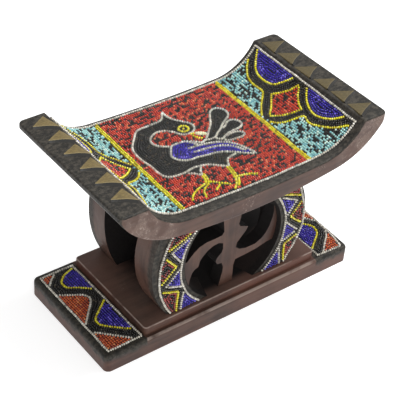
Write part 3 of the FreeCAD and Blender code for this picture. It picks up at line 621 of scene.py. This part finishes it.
def bead_mesh(name, centre, axis, out, radius, half):
    """All the beads of one piece, each a ring of quads round its hole."""
    count = len(centre)
    side = np.cross(axis, out)
    side /= np.linalg.norm(side, axis=1)[:, None]
    top = np.cross(side, axis)
    angles = np.arange(SIDES) * 2 * math.pi / SIDES + rng.uniform(0, 2 * math.pi, count)[:, None]
    around = side[:, None, :] * np.cos(angles)[:, :, None] + top[:, None, :] * np.sin(angles)[:, :, None]
    reach = RINGS[:, 0] * half[:, None]
    swell = RINGS[:, 1] * radius[:, None]
    verts = (centre[:, None, None, :] + axis[:, None, None, :] * reach[:, :, None, None]
             + around[:, None, :, :] * swell[:, :, None, None]).reshape(-1, 3) * MM
    corners = np.arange(len(RINGS) * SIDES).reshape(-1, SIDES)
    beyond = np.roll(corners, -1, 0)
    quads = np.stack([corners, np.roll(corners, -1, 1), np.roll(beyond, -1, 1), beyond], -1).reshape(-1, 4)
    faces = (quads + np.arange(count)[:, None, None] * corners.size).reshape(-1, 4)
    mesh = bpy.data.meshes.new(name)
    mesh.from_pydata(verts, [], faces, shade_flat=False)
    return mesh


def add_object(name, data):
    item = bpy.data.objects.new(name, data)
    bpy.context.scene.collection.objects.link(item)
    return item


def bead_piece(name, stands_for, ground, laid, colour, black=0.0, size=2.14, length=1.80, lift=0.84):
    """Meshes of beads. Each bead takes a shade of its colour, or of black for that share of them."""
    mixture = [(colour, 1 - black)] + ([("black", black)] if black else [])
    laid = np.array(laid)
    picks = mixed_colours(len(laid), mixture)
    slots = [material for colour, _ in mixture for material in glass[colour]]
    first_slot = np.cumsum([0] + [len(glass[colour]) for colour, _ in mixture])
    parts = max(1, math.ceil(len(laid) / MOST_BEADS))
    for part, (chunk, pick) in enumerate(zip(np.array_split(laid, parts), np.array_split(picks, parts))):
        count = len(chunk)
        u, v, turn = chunk.T
        shift_u, shift_v = wander(u, v)
        u = u + shift_u + rng.normal(0, SCATTER, count)
        v = v + shift_v + rng.normal(0, SCATTER, count)
        turn = turn + rng.normal(0, TURN_SCATTER, count)
        centre, along, up, out = ground.surface.place(u, v, lift + rng.normal(0, SCATTER, count))
        axis = along * np.cos(turn)[:, None] + up * np.sin(turn)[:, None]
        axis = axis + out * rng.normal(0, SCATTER, count)[:, None]
        axis /= np.linalg.norm(axis, axis=1)[:, None]
        radius = size / 2 * (1 + rng.normal(0, SIZE_SCATTER, count))
        half = length / 2 * (1 + rng.normal(0, LENGTH_SCATTER, count))
        mesh = bead_mesh(name, centre, axis, out, radius, half)
        shades = np.diff(first_slot)[pick]
        shade = np.abs(rng.normal(0, SHADE_SPREAD, count)).astype(int) % shades
        for material in slots:
            mesh.materials.append(material)
        paints = np.repeat(first_slot[pick] + shade, len(RINGS) * SIDES)
        mesh.polygons.foreach_set("material_index", paints.astype(np.int32))
        piece = add_object(name if parts == 1 else "%s_%d" % (name, part + 1), mesh)
        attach(piece, "root")
        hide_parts(stands_for)


# ---- seat pattern
# Places on the seat are (length along its curve, depth). The whole pattern leans a little.
LEAN, LEAN_FROM = 0.03, 78.0
FIELD_FRONT, FIELD_BACK, CREST = -73.0, 77.6, 131.0


def across(points):
    """Mirror image of a run of points, which leans less the nearer it is to the crest."""
    span = CREST - DOUBLE_STRING[0][0]
    return [(2 * LEAN * (y - LEAN_FROM) * min(1.0, max(0.0, (CREST - x) / span)) - x, y) for x, y in points]


BORDER = [(-CREST, FIELD_FRONT + 1.5), (0, FIELD_FRONT - 0.3), (CREST - 3, FIELD_FRONT - 1.5),
          (CREST, FIELD_BACK), (0, FIELD_BACK + 0.5), (-CREST + 1.5, FIELD_BACK)]
DOUBLE_STRING = [(67.3, FIELD_FRONT + 1), (71.6, FIELD_BACK - 1.5)]
BODY = [(-3.9, 62.5), (-4, 57), (-2.6, 50), (1.8, 42.8), (6.8, 37), (9.2, 31.5), (7.6, 26), (3.5, 21.8),
        (-1.5, 20.6), (-7, 21.5), (-10.5, 25), (-14, 31), (-19, 36), (-26, 38.4), (-34, 36), (-40, 30.5),
        (-42, 24), (-39, 18.4), (-33, 14.5), (-27.8, 12.8), (-20, 13.4), (-12.8, 12.6), (-6.5, 8.5),
        (-1, 3), (5, 4), (14, 2.5), (20, -3.5), (24, -14), (27, -22), (20.5, -27.3), (14, -28),
        (8.5, -28.8), (4.3, -30.5), (1.5, -35), (-1.2, -39.5), (-7.8, -35.4), (-13, -30.8), (-18, -27.8),
        (-24, -26.2), (-30.3, -25), (-36.5, -26), (-44, -27.5), (-51.5, -27.3), (-57.8, -26),
        (-61.8, -22.3), (-63.8, -14.8), (-63.4, -6), (-64.6, 2.8), (-65.5, 11.5), (-65, 20), (-63.2, 26.5),
        (-59, 32.5), (-52.8, 39), (-47.1, 45.3), (-42.8, 49), (-37.5, 50.9), (-26.5, 51.4), (-16.5, 51.8),
        (-11.5, 53.4), (-7.8, 57.5)]
THIGH = [(-44, -27.5), (-37.5, -31.5), (-31.5, -37), (-28.5, -32), (-24, -26.2), (-30.3, -25), (-36.5, -26)]
WING = [(-27.8, 12.8), (-30.8, 10.3), (-35.3, 4.6), (-38.4, -1), (-36.5, -7.3), (-31.5, -11.6),
        (-25.3, -13.8), (-17.8, -13.8), (-7.8, -15.4), (-2, -15.8), (5.5, -17.9), (11.8, -21.6),
        (18, -26.6), (24.3, -32.3), (31.5, -37.4), (31.8, -33.5), (29.9, -27.3), (26.8, -19.8), (23, -12.9),
        (18, -7.9), (11.8, -4.1), (3, -1), (-4.5, 1), (-8.5, 7), (-12.8, 12.4), (-20, 13.4)]
WING_STRIPES = [[(-16.5, 2.1), (-10, 1.3), (-4.5, 0.9)],
                [(-15.3, -5.4), (-7.8, -6), (-0.3, -7), (4.3, -7.9), (11.8, -10.4), (18, -14.8),
                 (23, -21), (26.5, -28)]]
FEATHERS = [
    [(5.5, 4), (10.5, 9), (18, 16.5), (25.5, 24), (31.8, 32.8), (36.8, 39), (41.8, 41.3), (46.8, 39.6),
     (49.9, 34.6), (49.5, 28.5), (46, 23.8), (40.5, 20.3), (34.3, 16.5), (28, 11.5), (21.8, 7.8),
     (14.9, 2.8)],
    [(14.9, 2.8), (21.8, 7.8), (28, 10.6), (34.3, 12.6), (38.5, 15.9), (43, 17.8), (48, 15.9), (51, 10.3),
     (49.3, 5.3), (44.3, 2.6), (36.8, 2.4), (30.5, 1.8), (24.3, -0.5), (19.3, -2.9)],
    [(20.5, -3.5), (26.8, -1), (34.3, 0), (40.5, -2.3), (43, -6), (41, -9.1), (35.5, -9.6), (28, -8.7),
     (23, -7.9)]]
LEGS_THICK = [[(-30.3, -37.5), (-31, -43.5), (-33, -48.5)], [(-2.4, -41), (-3.9, -48.5), (-6, -55.5)]]
TOES = [[(-33, -48.8), (-41.5, -51.5), (-50.3, -55), (-57, -59.5), (-60.5, -63.8)],
        [(-32, -50.5), (-40.3, -55.5), (-44.6, -60), (-47, -66)],
        [(-31.8, -48.2), (-24, -55.4), (-17.8, -61.6)], [(-24.6, -57), (-28.5, -59.3), (-32.8, -62.3)],
        [(-7.4, -57.3), (-11.5, -63.5), (-17.1, -69.2)], [(-4.4, -57.5), (-7.3, -62.3), (-11, -66.5)],
        [(-2.4, -56.6), (3, -57.8), (7.5, -59.1), (13.6, -62.5)]]
BEAK = [[(-0.8, 19), (1.6, 18.6)], [(-1, 15.5), (0.4, 11), (3.3, 8.2)]]
EYE_CENTRE, EYE_RADIUS = (-2.3, 30.0), 4.9
EGG_CENTRE, EGG_LENGTH, EGG_WIDTH, EGG_TURN = (6.8, 14.6), 10.5, 5.0, -40.0
OUTER_UPPER = [(74.6, 7.2), (85, 19.6), (93.8, 28.4), (97.5, 33.5), (97.5, 42.8), (98, 51.5), (100.6, 60.3),
               (104.4, 66), (110, 72), (116.5, 76.3)]
OUTER_LOWER = [(74.4, -7), (78.8, -12), (86.3, -16.6), (102, -23.8), (100.3, -34.8), (103.1, -43.5),
               (106.9, -52.3), (112.5, -61), (119.8, -68.8), (121, -70.5)]
DISC_UPPER = [(128.3, 71.8), (121.3, 67.8), (113.8, 62.1), (109.4, 55.3), (107.3, 46.5), (107.5, 37.8),
              (110, 29.3), (116.3, 23.4), (125.5, 15.5)]
DISC_LOWER = [(128, -5), (120, -10.4), (114.4, -17.3), (111, -26), (110.6, -34.8), (113.1, -43.5),
              (116.9, -51), (122.3, -57.3), (127, -61.6)]
DIAMOND = [(101, 22.8), (107.5, 15.9), (115, 9.2), (124.8, 3.8), (116.3, -1.3), (110.3, -7.9), (106.9, -16),
           (98.8, -12), (88.8, -6.4), (79.4, 1.3), (90, 10.6)]
CREST_LINE = [(CREST, FIELD_BACK), (CREST - 3, FIELD_FRONT)]
HALF_DISCS = [[(CREST, 74.5)] + DISC_UPPER + [(CREST, 13)],
              [(CREST, -2)] + DISC_LOWER + [(CREST - 2, -64)]]
BLACK_BAND = OUTER_UPPER + CREST_LINE + OUTER_LOWER[::-1]


def oval(centre, length, width, turn, count=16):
    """Points round an oval whose long axis is turned by an angle in degrees."""
    lean = math.radians(turn)
    angles = np.arange(count) * 2 * math.pi / count
    along, aside = np.cos(angles) * length / 2, np.sin(angles) * width / 2
    return list(zip(centre[0] + along * math.cos(lean) - aside * math.sin(lean),
                    centre[1] + along * math.sin(lean) + aside * math.cos(lean)))


seat_ground = Ground(SeatSurface(), (-136, -79), (136, 83))


def lines(runs, rows=1):
    """Open strings with corners at their points."""
    return [(run, False, False, rows) for run in runs]


def frames(runs):
    """Closed strings with corners at their points."""
    return [(run, True, False, 1) for run in runs]


def curves(runs, rows=1):
    """Open strings that run smoothly through their points."""
    return [(run, False, True, rows) for run in runs]


def loops(runs):
    """Closed strings that run smoothly through their points."""
    return [(run, True, True, 1) for run in runs]


def strings(ground, name, node, runs, colour, size=2.34, length=1.94, lift=0.98):
    """Lays strings, which have slightly larger beads than fields."""
    laid = [bead for run in runs for bead in ground.string(*run)]
    bead_piece(name, node, ground, laid, colour, size=size, length=length, lift=lift)


def field(ground, name, node, outlines, kind, colour, black=0.0):
    """Fills outlines with rows. The strings round them and in them are laid before."""
    bead_piece(name, node, ground, ground.fill(outlines, kind), colour, black)


def lay_seat():
    g = seat_ground
    strings(g, "seat_border_beads", "seat_border_string", frames([BORDER]), "white")
    sides = (("seat_right", list), ("seat_left", across))
    for side, place in sides:
        strings(g, side + "_double_beads", side + "_double_string", lines([place(DOUBLE_STRING)], rows=2),
                "yellow", size=2.2)
    eye_ring = oval(EYE_CENTRE, 2 * EYE_RADIUS, 2 * EYE_RADIUS, 0.0)
    pupil = [EYE_CENTRE, (EYE_CENTRE[0] + 0.1, EYE_CENTRE[1])]
    strings(g, "bird_eye_beads", "bird_eye", loops([eye_ring]) + lines([pupil]), "yellow")
    egg_ring = oval(EGG_CENTRE, EGG_LENGTH - 2.2, EGG_WIDTH - 2.4, EGG_TURN)
    strings(g, "bird_egg_beads", "bird_egg", loops([egg_ring]), "cream", size=2.9, length=2.5, lift=1.2)
    g.fill([oval(EGG_CENTRE, EGG_LENGTH, EGG_WIDTH, EGG_TURN)], "round")
    strings(g, "bird_beak_beads", "bird_beak_strings", curves(BEAK), "yellow")
    strings(g, "bird_wing_line_beads", "bird_wing_strings", loops([WING]) + curves(WING_STRIPES), "white")
    field(g, "bird_wing_beads", "bird_wing_field", [WING], "round", "blue")
    strings(g, "bird_tail_line_beads", "bird_tail_strings", loops(FEATHERS), "white")
    field(g, "bird_tail_beads", "bird_tail_fields", FEATHERS, "round", "black")
    strings(g, "bird_outline_beads", "bird_outline_string", loops([BODY, THIGH]), "white")
    field(g, "bird_body_beads", "bird_body_field", [BODY, THIGH], "round", "black")
    strings(g, "bird_leg_beads", "bird_leg_strings", curves(LEGS_THICK, rows=2) + curves(TOES), "yellow")
    field(g, "seat_red_beads", "seat_red_field", [across(DOUBLE_STRING) + DOUBLE_STRING[::-1]], "along",
          "red", black=0.32)
    for side, place in sides:
        arcs = [place(run) for run in (OUTER_UPPER, OUTER_LOWER, DISC_UPPER, DISC_LOWER)]
        discs = [place(disc) for disc in HALF_DISCS]
        diamond = place(DIAMOND)
        strings(g, side + "_arc_beads", side + "_arc_strings", curves(arcs) + frames([diamond]), "yellow")
        field(g, side + "_disc_beads", side + "_half_discs", discs, "round", "blue")
        field(g, side + "_diamond_beads", side + "_diamond", [diamond], "across", "red", black=0.34)
        field(g, side + "_band_beads", side + "_black_band", [place(BLACK_BAND)], "round", "black")
        field(g, side + "_turquoise_beads", side + "_turquoise_field", [place(DOUBLE_STRING + CREST_LINE)],
              "across", "turquoise", black=0.34)


lay_seat()


# ---- ring panel pattern
INNER_STRING, OUTER_STRING = 63.0, 87.2
PATTERN_FOOT, PATTERN_HEAD = 29.5, 133.0


def ring_run(radius, steps=24):
    """Points up the right side of a circle about the ring's centre, over the pattern's height."""
    start, end = (math.asin((z - RING_CENTRE) / radius) for z in (PATTERN_FOOT, PATTERN_HEAD))
    return [(radius * math.cos(turn), RING_CENTRE + radius * math.sin(turn))
            for turn in np.linspace(start, end, steps + 1)]


# The right side of the front panel and both sides of the back panel are carved slimmer, so
# their outer string follows this line, from its foot to its head, instead of the round one.
SLIM_OUTER = [(66.4, PATTERN_FOOT), (69.9, 35.7), (76.2, 44.8), (80.9, 54.6), (84.9, 66.2), (86.2, 77.7),
              (85.1, 90.9), (81.3, 104.6), (77.1, 117.5), (72.6, 126), (67.5, PATTERN_HEAD)]
BLUE_POINTS = [[(56, 114), (74.5, 104), (64.5, 89.8)], [(65, 79.6), (79.5, 65.3), (62.2, 58.2)]]
BLUE_FOOT = [(58.5, 49), (60.5, PATTERN_FOOT)]
RED_POINTS = [[(80.3, 99), (68.8, 85.3), (84.3, 71.4)], [(81.4, 59.5), (64.7, 53), (65.5, PATTERN_FOOT)]]
RED_HEAD = [(55, 118.5), (78, 108.5)]


def between_heights(run, low, high):
    """The part of a rising run of points between two heights."""
    cut = []
    for (x0, z0), (x1, z1) in zip(run, run[1:]):
        for level in (low, high):
            if z0 < level < z1:
                cut.append((x0 + (x1 - x0) * (level - z0) / (z1 - z0), level))
    return sorted(cut + [place for place in run if low <= place[1] <= high], key=lambda place: place[1])


def flip(points):
    return [(-x, z) for x, z in points]


def panel_surface(side):
    return FlatSurface((0, side * PANEL_FACE, 0), (-side, 0, 0), (0, 0, 1))


def panel_sides(side):
    """How each side of a panel is placed, and its outer string."""
    left_outer = ring_run(OUTER_STRING) if side == FRONT else SLIM_OUTER
    return (("right", list, SLIM_OUTER), ("left", flip, left_outer))


def lay_panel(name, side):
    g = Ground(panel_surface(side), (-95, 24), (95, 140))
    inner = ring_run(INNER_STRING)
    white, yellow, blue, red, black = [], [], [], [], []
    for _, place, outer in panel_sides(side):
        white += lines(map(place, [inner, BLUE_FOOT] + BLUE_POINTS)) + curves([place(outer)])
        yellow += lines(map(place, [RED_HEAD] + RED_POINTS))
        blue.append(place(BLUE_FOOT + between_heights(inner, PATTERN_FOOT, BLUE_FOOT[0][1])))
        blue += [place(points + between_heights(inner, points[2][1], points[0][1])) for points in BLUE_POINTS]
        head = between_heights(inner, RED_HEAD[0][1], PATTERN_HEAD)
        red.append(place(RED_HEAD + between_heights(outer, RED_HEAD[1][1], PATTERN_HEAD) + head[::-1]))
        red += [place(points + between_heights(outer, points[2][1], points[0][1])) for points in RED_POINTS]
        black.append(place(inner + outer[::-1]))
    strings(g, name + "_white_beads", name + "_white_strings", white, "white")
    strings(g, name + "_yellow_beads", name + "_yellow_strings", yellow, "yellow")
    field(g, name + "_blue_beads", name + "_blue_triangles", blue, "round", "blue")
    field(g, name + "_red_beads", name + "_red_triangles", red, "round", "maroon", black=0.34)
    field(g, name + "_black_beads", name + "_black_fields", black, "round", "black")


FRONT, BACK = -1, 1
lay_panel("front", FRONT)
lay_panel("back", BACK)


# ---- base end pattern
SLAB_TOP = 19.0
# The two ends were beaded by hand and differ a little. Each has its white border, the white
# strings round the orange bays, the yellow ones round the blue bays, and the border corners
# that close the orange bays. Both are given as they would be at the right end.
RIGHT_END = (
    [(146, 59), (145.5, -15), (143, -45), (140, -62.5), (110, -61.5), (110.8, -28), (109, 59)],
    [[(144.5, 45), (136, 52), (129, 58)],
     [(144.5, 31), (130, 24), (122, 19), (119.5, 12), (123, 6), (130, -1), (137, -8), (144.5, -19)],
     [(142.5, -35.5), (137.4, -43.3), (127.8, -51.6), (119, -60)]],
    [[(110, 56), (122, 51), (129, 45), (131.5, 40), (130, 34), (121, 28), (110, 19)],
     [(110, 2), (122, -9), (129.7, -15.8), (134.5, -21.5), (135.3, -28), (132, -35), (124, -41.5),
      (112, -50.5)]],
    [[(145, 58)], [], [(139.5, -61.5)]])
LEFT_END = (
    [(144, 59), (144, -59.5), (106.5, -59.5), (108, 59)],
    [[(143, 45), (136, 52), (129, 58)],
     [(143, 30), (130, 22), (122, 17), (119, 10), (122, 4), (130, -5), (143, -20)],
     [(143, -31), (132, -41), (122, -51), (114.5, -58.5)]],
    [[(109, 56), (122, 51), (129, 45), (130.6, 40), (129, 34), (120, 28), (109, 19)],
     [(108, 1), (122, -10), (129, -16), (131.4, -22), (130, -28), (122, -36), (108, -47.5)]],
    [[(143, 58)], [], [(143, -58.5)]])
SLAB_FACE = FlatSurface((0, 0, SLAB_TOP), (1, 0, 0), (0, 1, 0))


def lay_base_end(name, place, tables, low, high):
    """Serpentine of black beads between blue and orange bays, in a white border."""
    border, orange_runs, blue_runs, corners = tables
    g = Ground(SLAB_FACE, low, high)
    blue = [place(run) for run in blue_runs]
    orange = [place(run + corner) for run, corner in zip(orange_runs, corners)]
    strings(g, name + "_white_beads", name + "_white_strings",
            frames([place(border)]) + curves(map(place, orange_runs)), "white")
    strings(g, name + "_yellow_beads", name + "_yellow_strings", curves(blue), "yellow")
    field(g, name + "_blue_beads", name + "_blue_bays", blue, "across", "blue")
    field(g, name + "_orange_beads", name + "_orange_bays", orange, "across", "orange")
    field(g, name + "_black_beads", name + "_black_serpentine", [place(border)], "round", "black")


lay_base_end("base_right", list, RIGHT_END, (100, -66), (152, 64))
lay_base_end("base_left", flip, LEFT_END, (-150, -64), (-100, 64))


# ---- glue under the beads, coloured near black: partly its own dark colour and partly painted shade for the gaps between the beads
def glue_and_gap_shade_material():
    t = Tree("glue_and_gap_shade")
    lumps = t.noise(700.0)
    patches = t.noise(120.0, detail=2.0)
    # Darker than the black paint: partly painted shade, which deepens the gaps between the beads.
    colour = t.mix(t.between(patches, 0.4, 0.7), srgb(10, 9, 8), srgb(20, 18, 16))
    return t.finish(colour, t.plus(t.times(lumps, 0.3), 0.55), lumps, 0.0005)


glue_and_gap_shade = glue_and_gap_shade_material()
GLUE_TOP, GLUE_EDGE, GLUE_FOOT, GLUE_LUMPS = 0.3, 0.1, -0.15, 0.04
GLUE_MARGIN = 1.2       # how far it comes out round the border string of a base end
END_MIDDLE = 130        # between the inner and outer border string of a base end


def shell_object(name, verts, faces, materials, paints, smooth):
    """An object of a closed surface, with its faces turned outwards. paints says which material
    each face takes."""
    mesh = bpy.data.meshes.new(name)
    mesh.from_pydata(np.array(verts) * MM, [], faces, shade_flat=not smooth)
    for material in materials:
        mesh.materials.append(material)
    mesh.polygons.foreach_set("material_index", paints)
    shell = bmesh.new()
    shell.from_mesh(mesh)
    bmesh.ops.recalc_face_normals(shell, faces=shell.faces)
    shell.to_mesh(mesh)
    shell.free()
    return add_object(name, mesh)


def along_line(points, steps):
    """Evenly spread places along a run of points, by share of its corners."""
    corners = np.linspace(0, 1, len(points))
    return np.array([np.interp(np.linspace(0, 1, steps + 1), corners, column)
                     for column in np.array(points, float).T]).T


def glue_sheet(name, surface, edge_a, edge_b, rows, columns):
    """Thin closed layer between two edge lines of (u, v), with its upper side lumpy."""
    share = np.linspace(0, 1, columns + 1)[None, :, None]
    grid = along_line(edge_a, rows)[:, None, :] * (1 - share) + along_line(edge_b, rows)[:, None, :] * share
    u, v = grid.reshape(-1, 2).T
    edge = np.ones((rows + 1, columns + 1), bool)
    edge[1:-1, 1:-1] = False
    lift = np.where(edge.ravel(), GLUE_EDGE, GLUE_TOP + rng.normal(0, GLUE_LUMPS, len(u)))
    upper = surface.place(u, v, lift)[0]
    lower = surface.place(u, v, np.full(len(u), GLUE_FOOT))[0]
    spot = np.arange(len(u)).reshape(rows + 1, columns + 1)
    top = np.stack([spot[:-1, :-1], spot[1:, :-1], spot[1:, 1:], spot[:-1, 1:]], -1).reshape(-1, 4)
    here = np.concatenate([spot[0, :-1], spot[:-1, -1], spot[-1, :0:-1], spot[:0:-1, 0]])
    there = np.roll(here, -1)
    walls = np.stack([here, there, there + len(u), here + len(u)], -1)
    faces = np.vstack([top, top[:, ::-1] + len(u), walls])
    item = shell_object(name, np.vstack([upper, lower]), faces, [glue_and_gap_shade], [0] * len(faces), smooth=True)
    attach(item, "root")


glue_sheet("seat_adhesive", seat_ground.surface,
           [(-CREST - 0.8, FIELD_FRONT + 0.3), (0, FIELD_FRONT - 1.6), (CREST - 1.5, FIELD_FRONT - 2.7)],
           [(-CREST + 0.6, FIELD_BACK + 1.2), (0, FIELD_BACK + 1.6), (CREST + 1.2, FIELD_BACK + 1.2)],
           rows=90, columns=50)
for name, side in (("front", FRONT), ("back", BACK)):
    for label, place, outer in panel_sides(side):
        glue_sheet("%s_%s_adhesive" % (name, label), panel_surface(side),
                   place([(x - 1.1 * x / INNER_STRING, z) for x, z in ring_run(INNER_STRING)]),
                   place([(x + 1.0, z) for x, z in outer]), rows=40, columns=8)
for label, place, tables in (("right", list, RIGHT_END), ("left", flip, LEFT_END)):
    border = tables[0]
    outer_edge = [(x + GLUE_MARGIN, y) for x, y in border if x > END_MIDDLE]
    inner_edge = [(x - GLUE_MARGIN, y) for x, y in border if x < END_MIDDLE][::-1]
    glue_sheet("base_%s_adhesive" % label, SLAB_FACE, place(outer_edge), place(inner_edge),
               rows=40, columns=12)


# ---- gold relief on the ends
def gold_material(name, dull, bright):
    """Thin brassy paint over carved wood."""
    t = Tree(name)
    brush = t.noise([300.0, 900.0, 500.0])
    patches = t.noise(110.0, detail=4.0)
    gold = t.mix(t.between(brush, 0.35, 0.7), srgb(*dull), srgb(*bright))
    gold = t.mix(t.times(t.between(patches, 0.52, 0.75), 0.45), gold, srgb(70, 62, 44))
    t.shader.inputs["Metallic"].default_value = 0.25
    return t.finish(gold, t.plus(t.times(patches, 0.2), 0.36), t.plus(brush, patches), 0.0003)


FACE_GOLD, EDGE_GOLD, SIDE_BLACK = 0, 1, 2
# The edges of the triangles are painted paler than their faces: a painted highlight where light catches them,
# dimmer on the right end's edges.
highlight_gold = plain_material("gold_highlight_edge", srgb(150, 134, 92), 0.35)
dim_highlight_gold = plain_material("gold_dim_highlight_edge", srgb(100, 88, 58), 0.4)
relief_black = plain_material("relief_black", srgb(30, 28, 24), 0.5)
# The gold of the right end is painted darker than that of the left end: painted shade, as the light falls
# less on it.
RELIEF_PAINTS = {
    "left": [gold_material("gold_relief_left", (108, 93, 58), (130, 113, 69)), highlight_gold, relief_black],
    "right": [gold_material("gold_relief_right", (78, 68, 42), (96, 84, 52)), dim_highlight_gold,
              relief_black],
}
# Where each triangle's back corner, apex and front corner lie, from the back to the front.
TRIANGLES = {
    "right": [((127, 75.7), (147.4, 64.8), (124.6, 52.4)), ((127.4, 52.2), (145.7, 37.8), (125.6, 26.5)),
              ((125.1, 23.6), (144.1, 10.4), (124.7, -1)), ((127, -3.5), (144.8, -15.6), (126, -25.4)),
              ((127.1, -28.3), (146, -41.3), (125.1, -50.6)), ((126.6, -53.7), (146.2, -65.3), (124, -76))],
    "left": [((-127.1, 78.4), (-144, 67.3), (-123.6, 54.8)), ((-125.8, 51.9), (-143.2, 42), (-122.6, 29.9)),
             ((-125.2, 27), (-142.6, 17.6), (-122.4, 5.2)), ((-124.4, 3), (-142.2, -7.9), (-123, -18.8)),
             ((-124, -22.6), (-142.4, -32), (-122.6, -44.8)),
             ((-126, -48.4), (-143.4, -57.6), (-124.4, -70.8))],
}
RELIEF_RISE, RELIEF_FALL, FACE_BOW, EDGE_STEPS = 2.2, 2.2, 0.45, 8


def end_triangles(label, side):
    """Triangles cut by hand. Each face climbs from its back corner to its front edge, which is a
    little hollow along its line, and then drops steeply to the black ground."""
    verts, faces, paints = [], [], []
    for corners in TRIANGLES[label]:
        back, apex, front = (np.array(corner, float) for corner in corners)
        edge = (apex - front) / np.linalg.norm(apex - front)
        ahead = np.array([side * abs(edge[1]), -abs(edge[0])])
        first = len(verts)
        for step in range(EDGE_STEPS + 1):
            share = step / EDGE_STEPS
            bow = 4 * share * (1 - share) * FACE_BOW
            ridge = front + (apex - front) * share - ahead * bow
            height = RELIEF_RISE * (0.55 + 0.45 * math.sin(math.pi * min(share + 0.18, 1.0)))
            verts += [(*(ridge - ahead * 0.7), RIM_Z + height - 0.12), (*ridge, RIM_Z + height),
                      (*(ridge + ahead * RELIEF_FALL), RIM_Z - 0.1)]
            if step:
                now, then = first + 3 * step, first + 3 * (step - 1)
                faces += [(then, now, now + 1, then + 1), (then + 1, now + 1, now + 2, then + 2)]
                paints += [EDGE_GOLD, SIDE_BLACK]
        tip = len(verts)
        verts += [(*back, RIM_Z + 0.05)]
        for step in range(EDGE_STEPS):
            faces.append((tip, first + 3 * (step + 1), first + 3 * step))
            paints.append(FACE_GOLD)
        # Narrow walls under the two other edges, down into the seat.
        low = len(verts)
        last = first + 3 * EDGE_STEPS
        verts += [(*verts[k][:2], RIM_Z - 0.3) for k in (first, tip, last)]
        faces += [(first, tip, low + 1, low), (tip, last, low + 2, low + 1),
                  (first + 2, first + 1, first, low), (last, last + 1, last + 2, low + 2)]
        paints += [EDGE_GOLD, EDGE_GOLD, SIDE_BLACK, SIDE_BLACK]
    item = shell_object(label + "_gold_triangles", verts, faces, RELIEF_PAINTS[label], paints, smooth=False)
    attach(item, "root")
    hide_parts(label + "_end_triangles")


end_triangles("left", -1)
end_triangles("right", 1)


# ---- floor, light and camera
bpy.ops.mesh.primitive_plane_add(size=12.0, location=(0, 0, 0))
floor = bpy.context.object
floor.name = "studio_floor"
floor.data.materials.append(plain_material("studio_floor", (0.72, 0.72, 0.72, 1.0), 0.9,
                                           Emission_Color=(1.0, 1.0, 1.0, 1.0), Emission_Strength=0.6))

world = bpy.data.worlds.new("studio")
bpy.context.scene.world = world
world.use_nodes = True
backdrop = world.node_tree.nodes["Background"]
backdrop.inputs["Color"].default_value = (1.0, 1.0, 1.0, 1.0)
backdrop.inputs["Strength"].default_value = 0.5
LIT_POINT = (0, 0, 0.1)


def area_light(name, place, size, power):
    light = bpy.data.lights.new(name, "AREA")
    light.shape = "SQUARE"
    light.size = size
    light.energy = power
    lamp = add_object(name, light)
    lamp.location = place
    lamp.rotation_euler = (Vector(LIT_POINT) - Vector(place)).to_track_quat("-Z", "Y").to_euler()


area_light("overhead", (0.55, -0.05, 1.6), 0.6, 24.5)
area_light("front_fill", (-0.5, -1.4, 0.8), 0.9, 8.0)
area_light("side_fill", (1.4, -0.4, 0.9), 0.7, 2.0)

AZIMUTH, ELEVATION, ROLL = math.radians(-39.49), math.radians(38.06), math.radians(4.47)
SENSOR = 36.0
LENS = 3.17 * SENSOR
TO_OBJECT = (-6.1, -75.84, 1285.94)      # the object's origin, seen from the camera
back = Vector((math.sin(AZIMUTH) * math.cos(ELEVATION), -math.cos(AZIMUTH) * math.cos(ELEVATION),
               math.sin(ELEVATION)))
level = Vector((math.cos(AZIMUTH), math.sin(AZIMUTH), 0))
raised = back.cross(level)
right = level * math.cos(ROLL) + raised * math.sin(ROLL)
up = raised * math.cos(ROLL) - level * math.sin(ROLL)
camera_data = bpy.data.cameras.new("camera")
camera_data.lens = LENS
camera_data.sensor_width = SENSOR
camera = add_object("camera", camera_data)
origin = back * TO_OBJECT[2] * MM - right * TO_OBJECT[0] * MM - up * TO_OBJECT[1] * MM
turn = Matrix((right, up, back)).transposed().to_4x4()
camera.matrix_world = Matrix.Translation(origin) @ turn
bpy.context.scene.camera = camera
bpy.context.scene.view_settings.view_transform = "Standard"
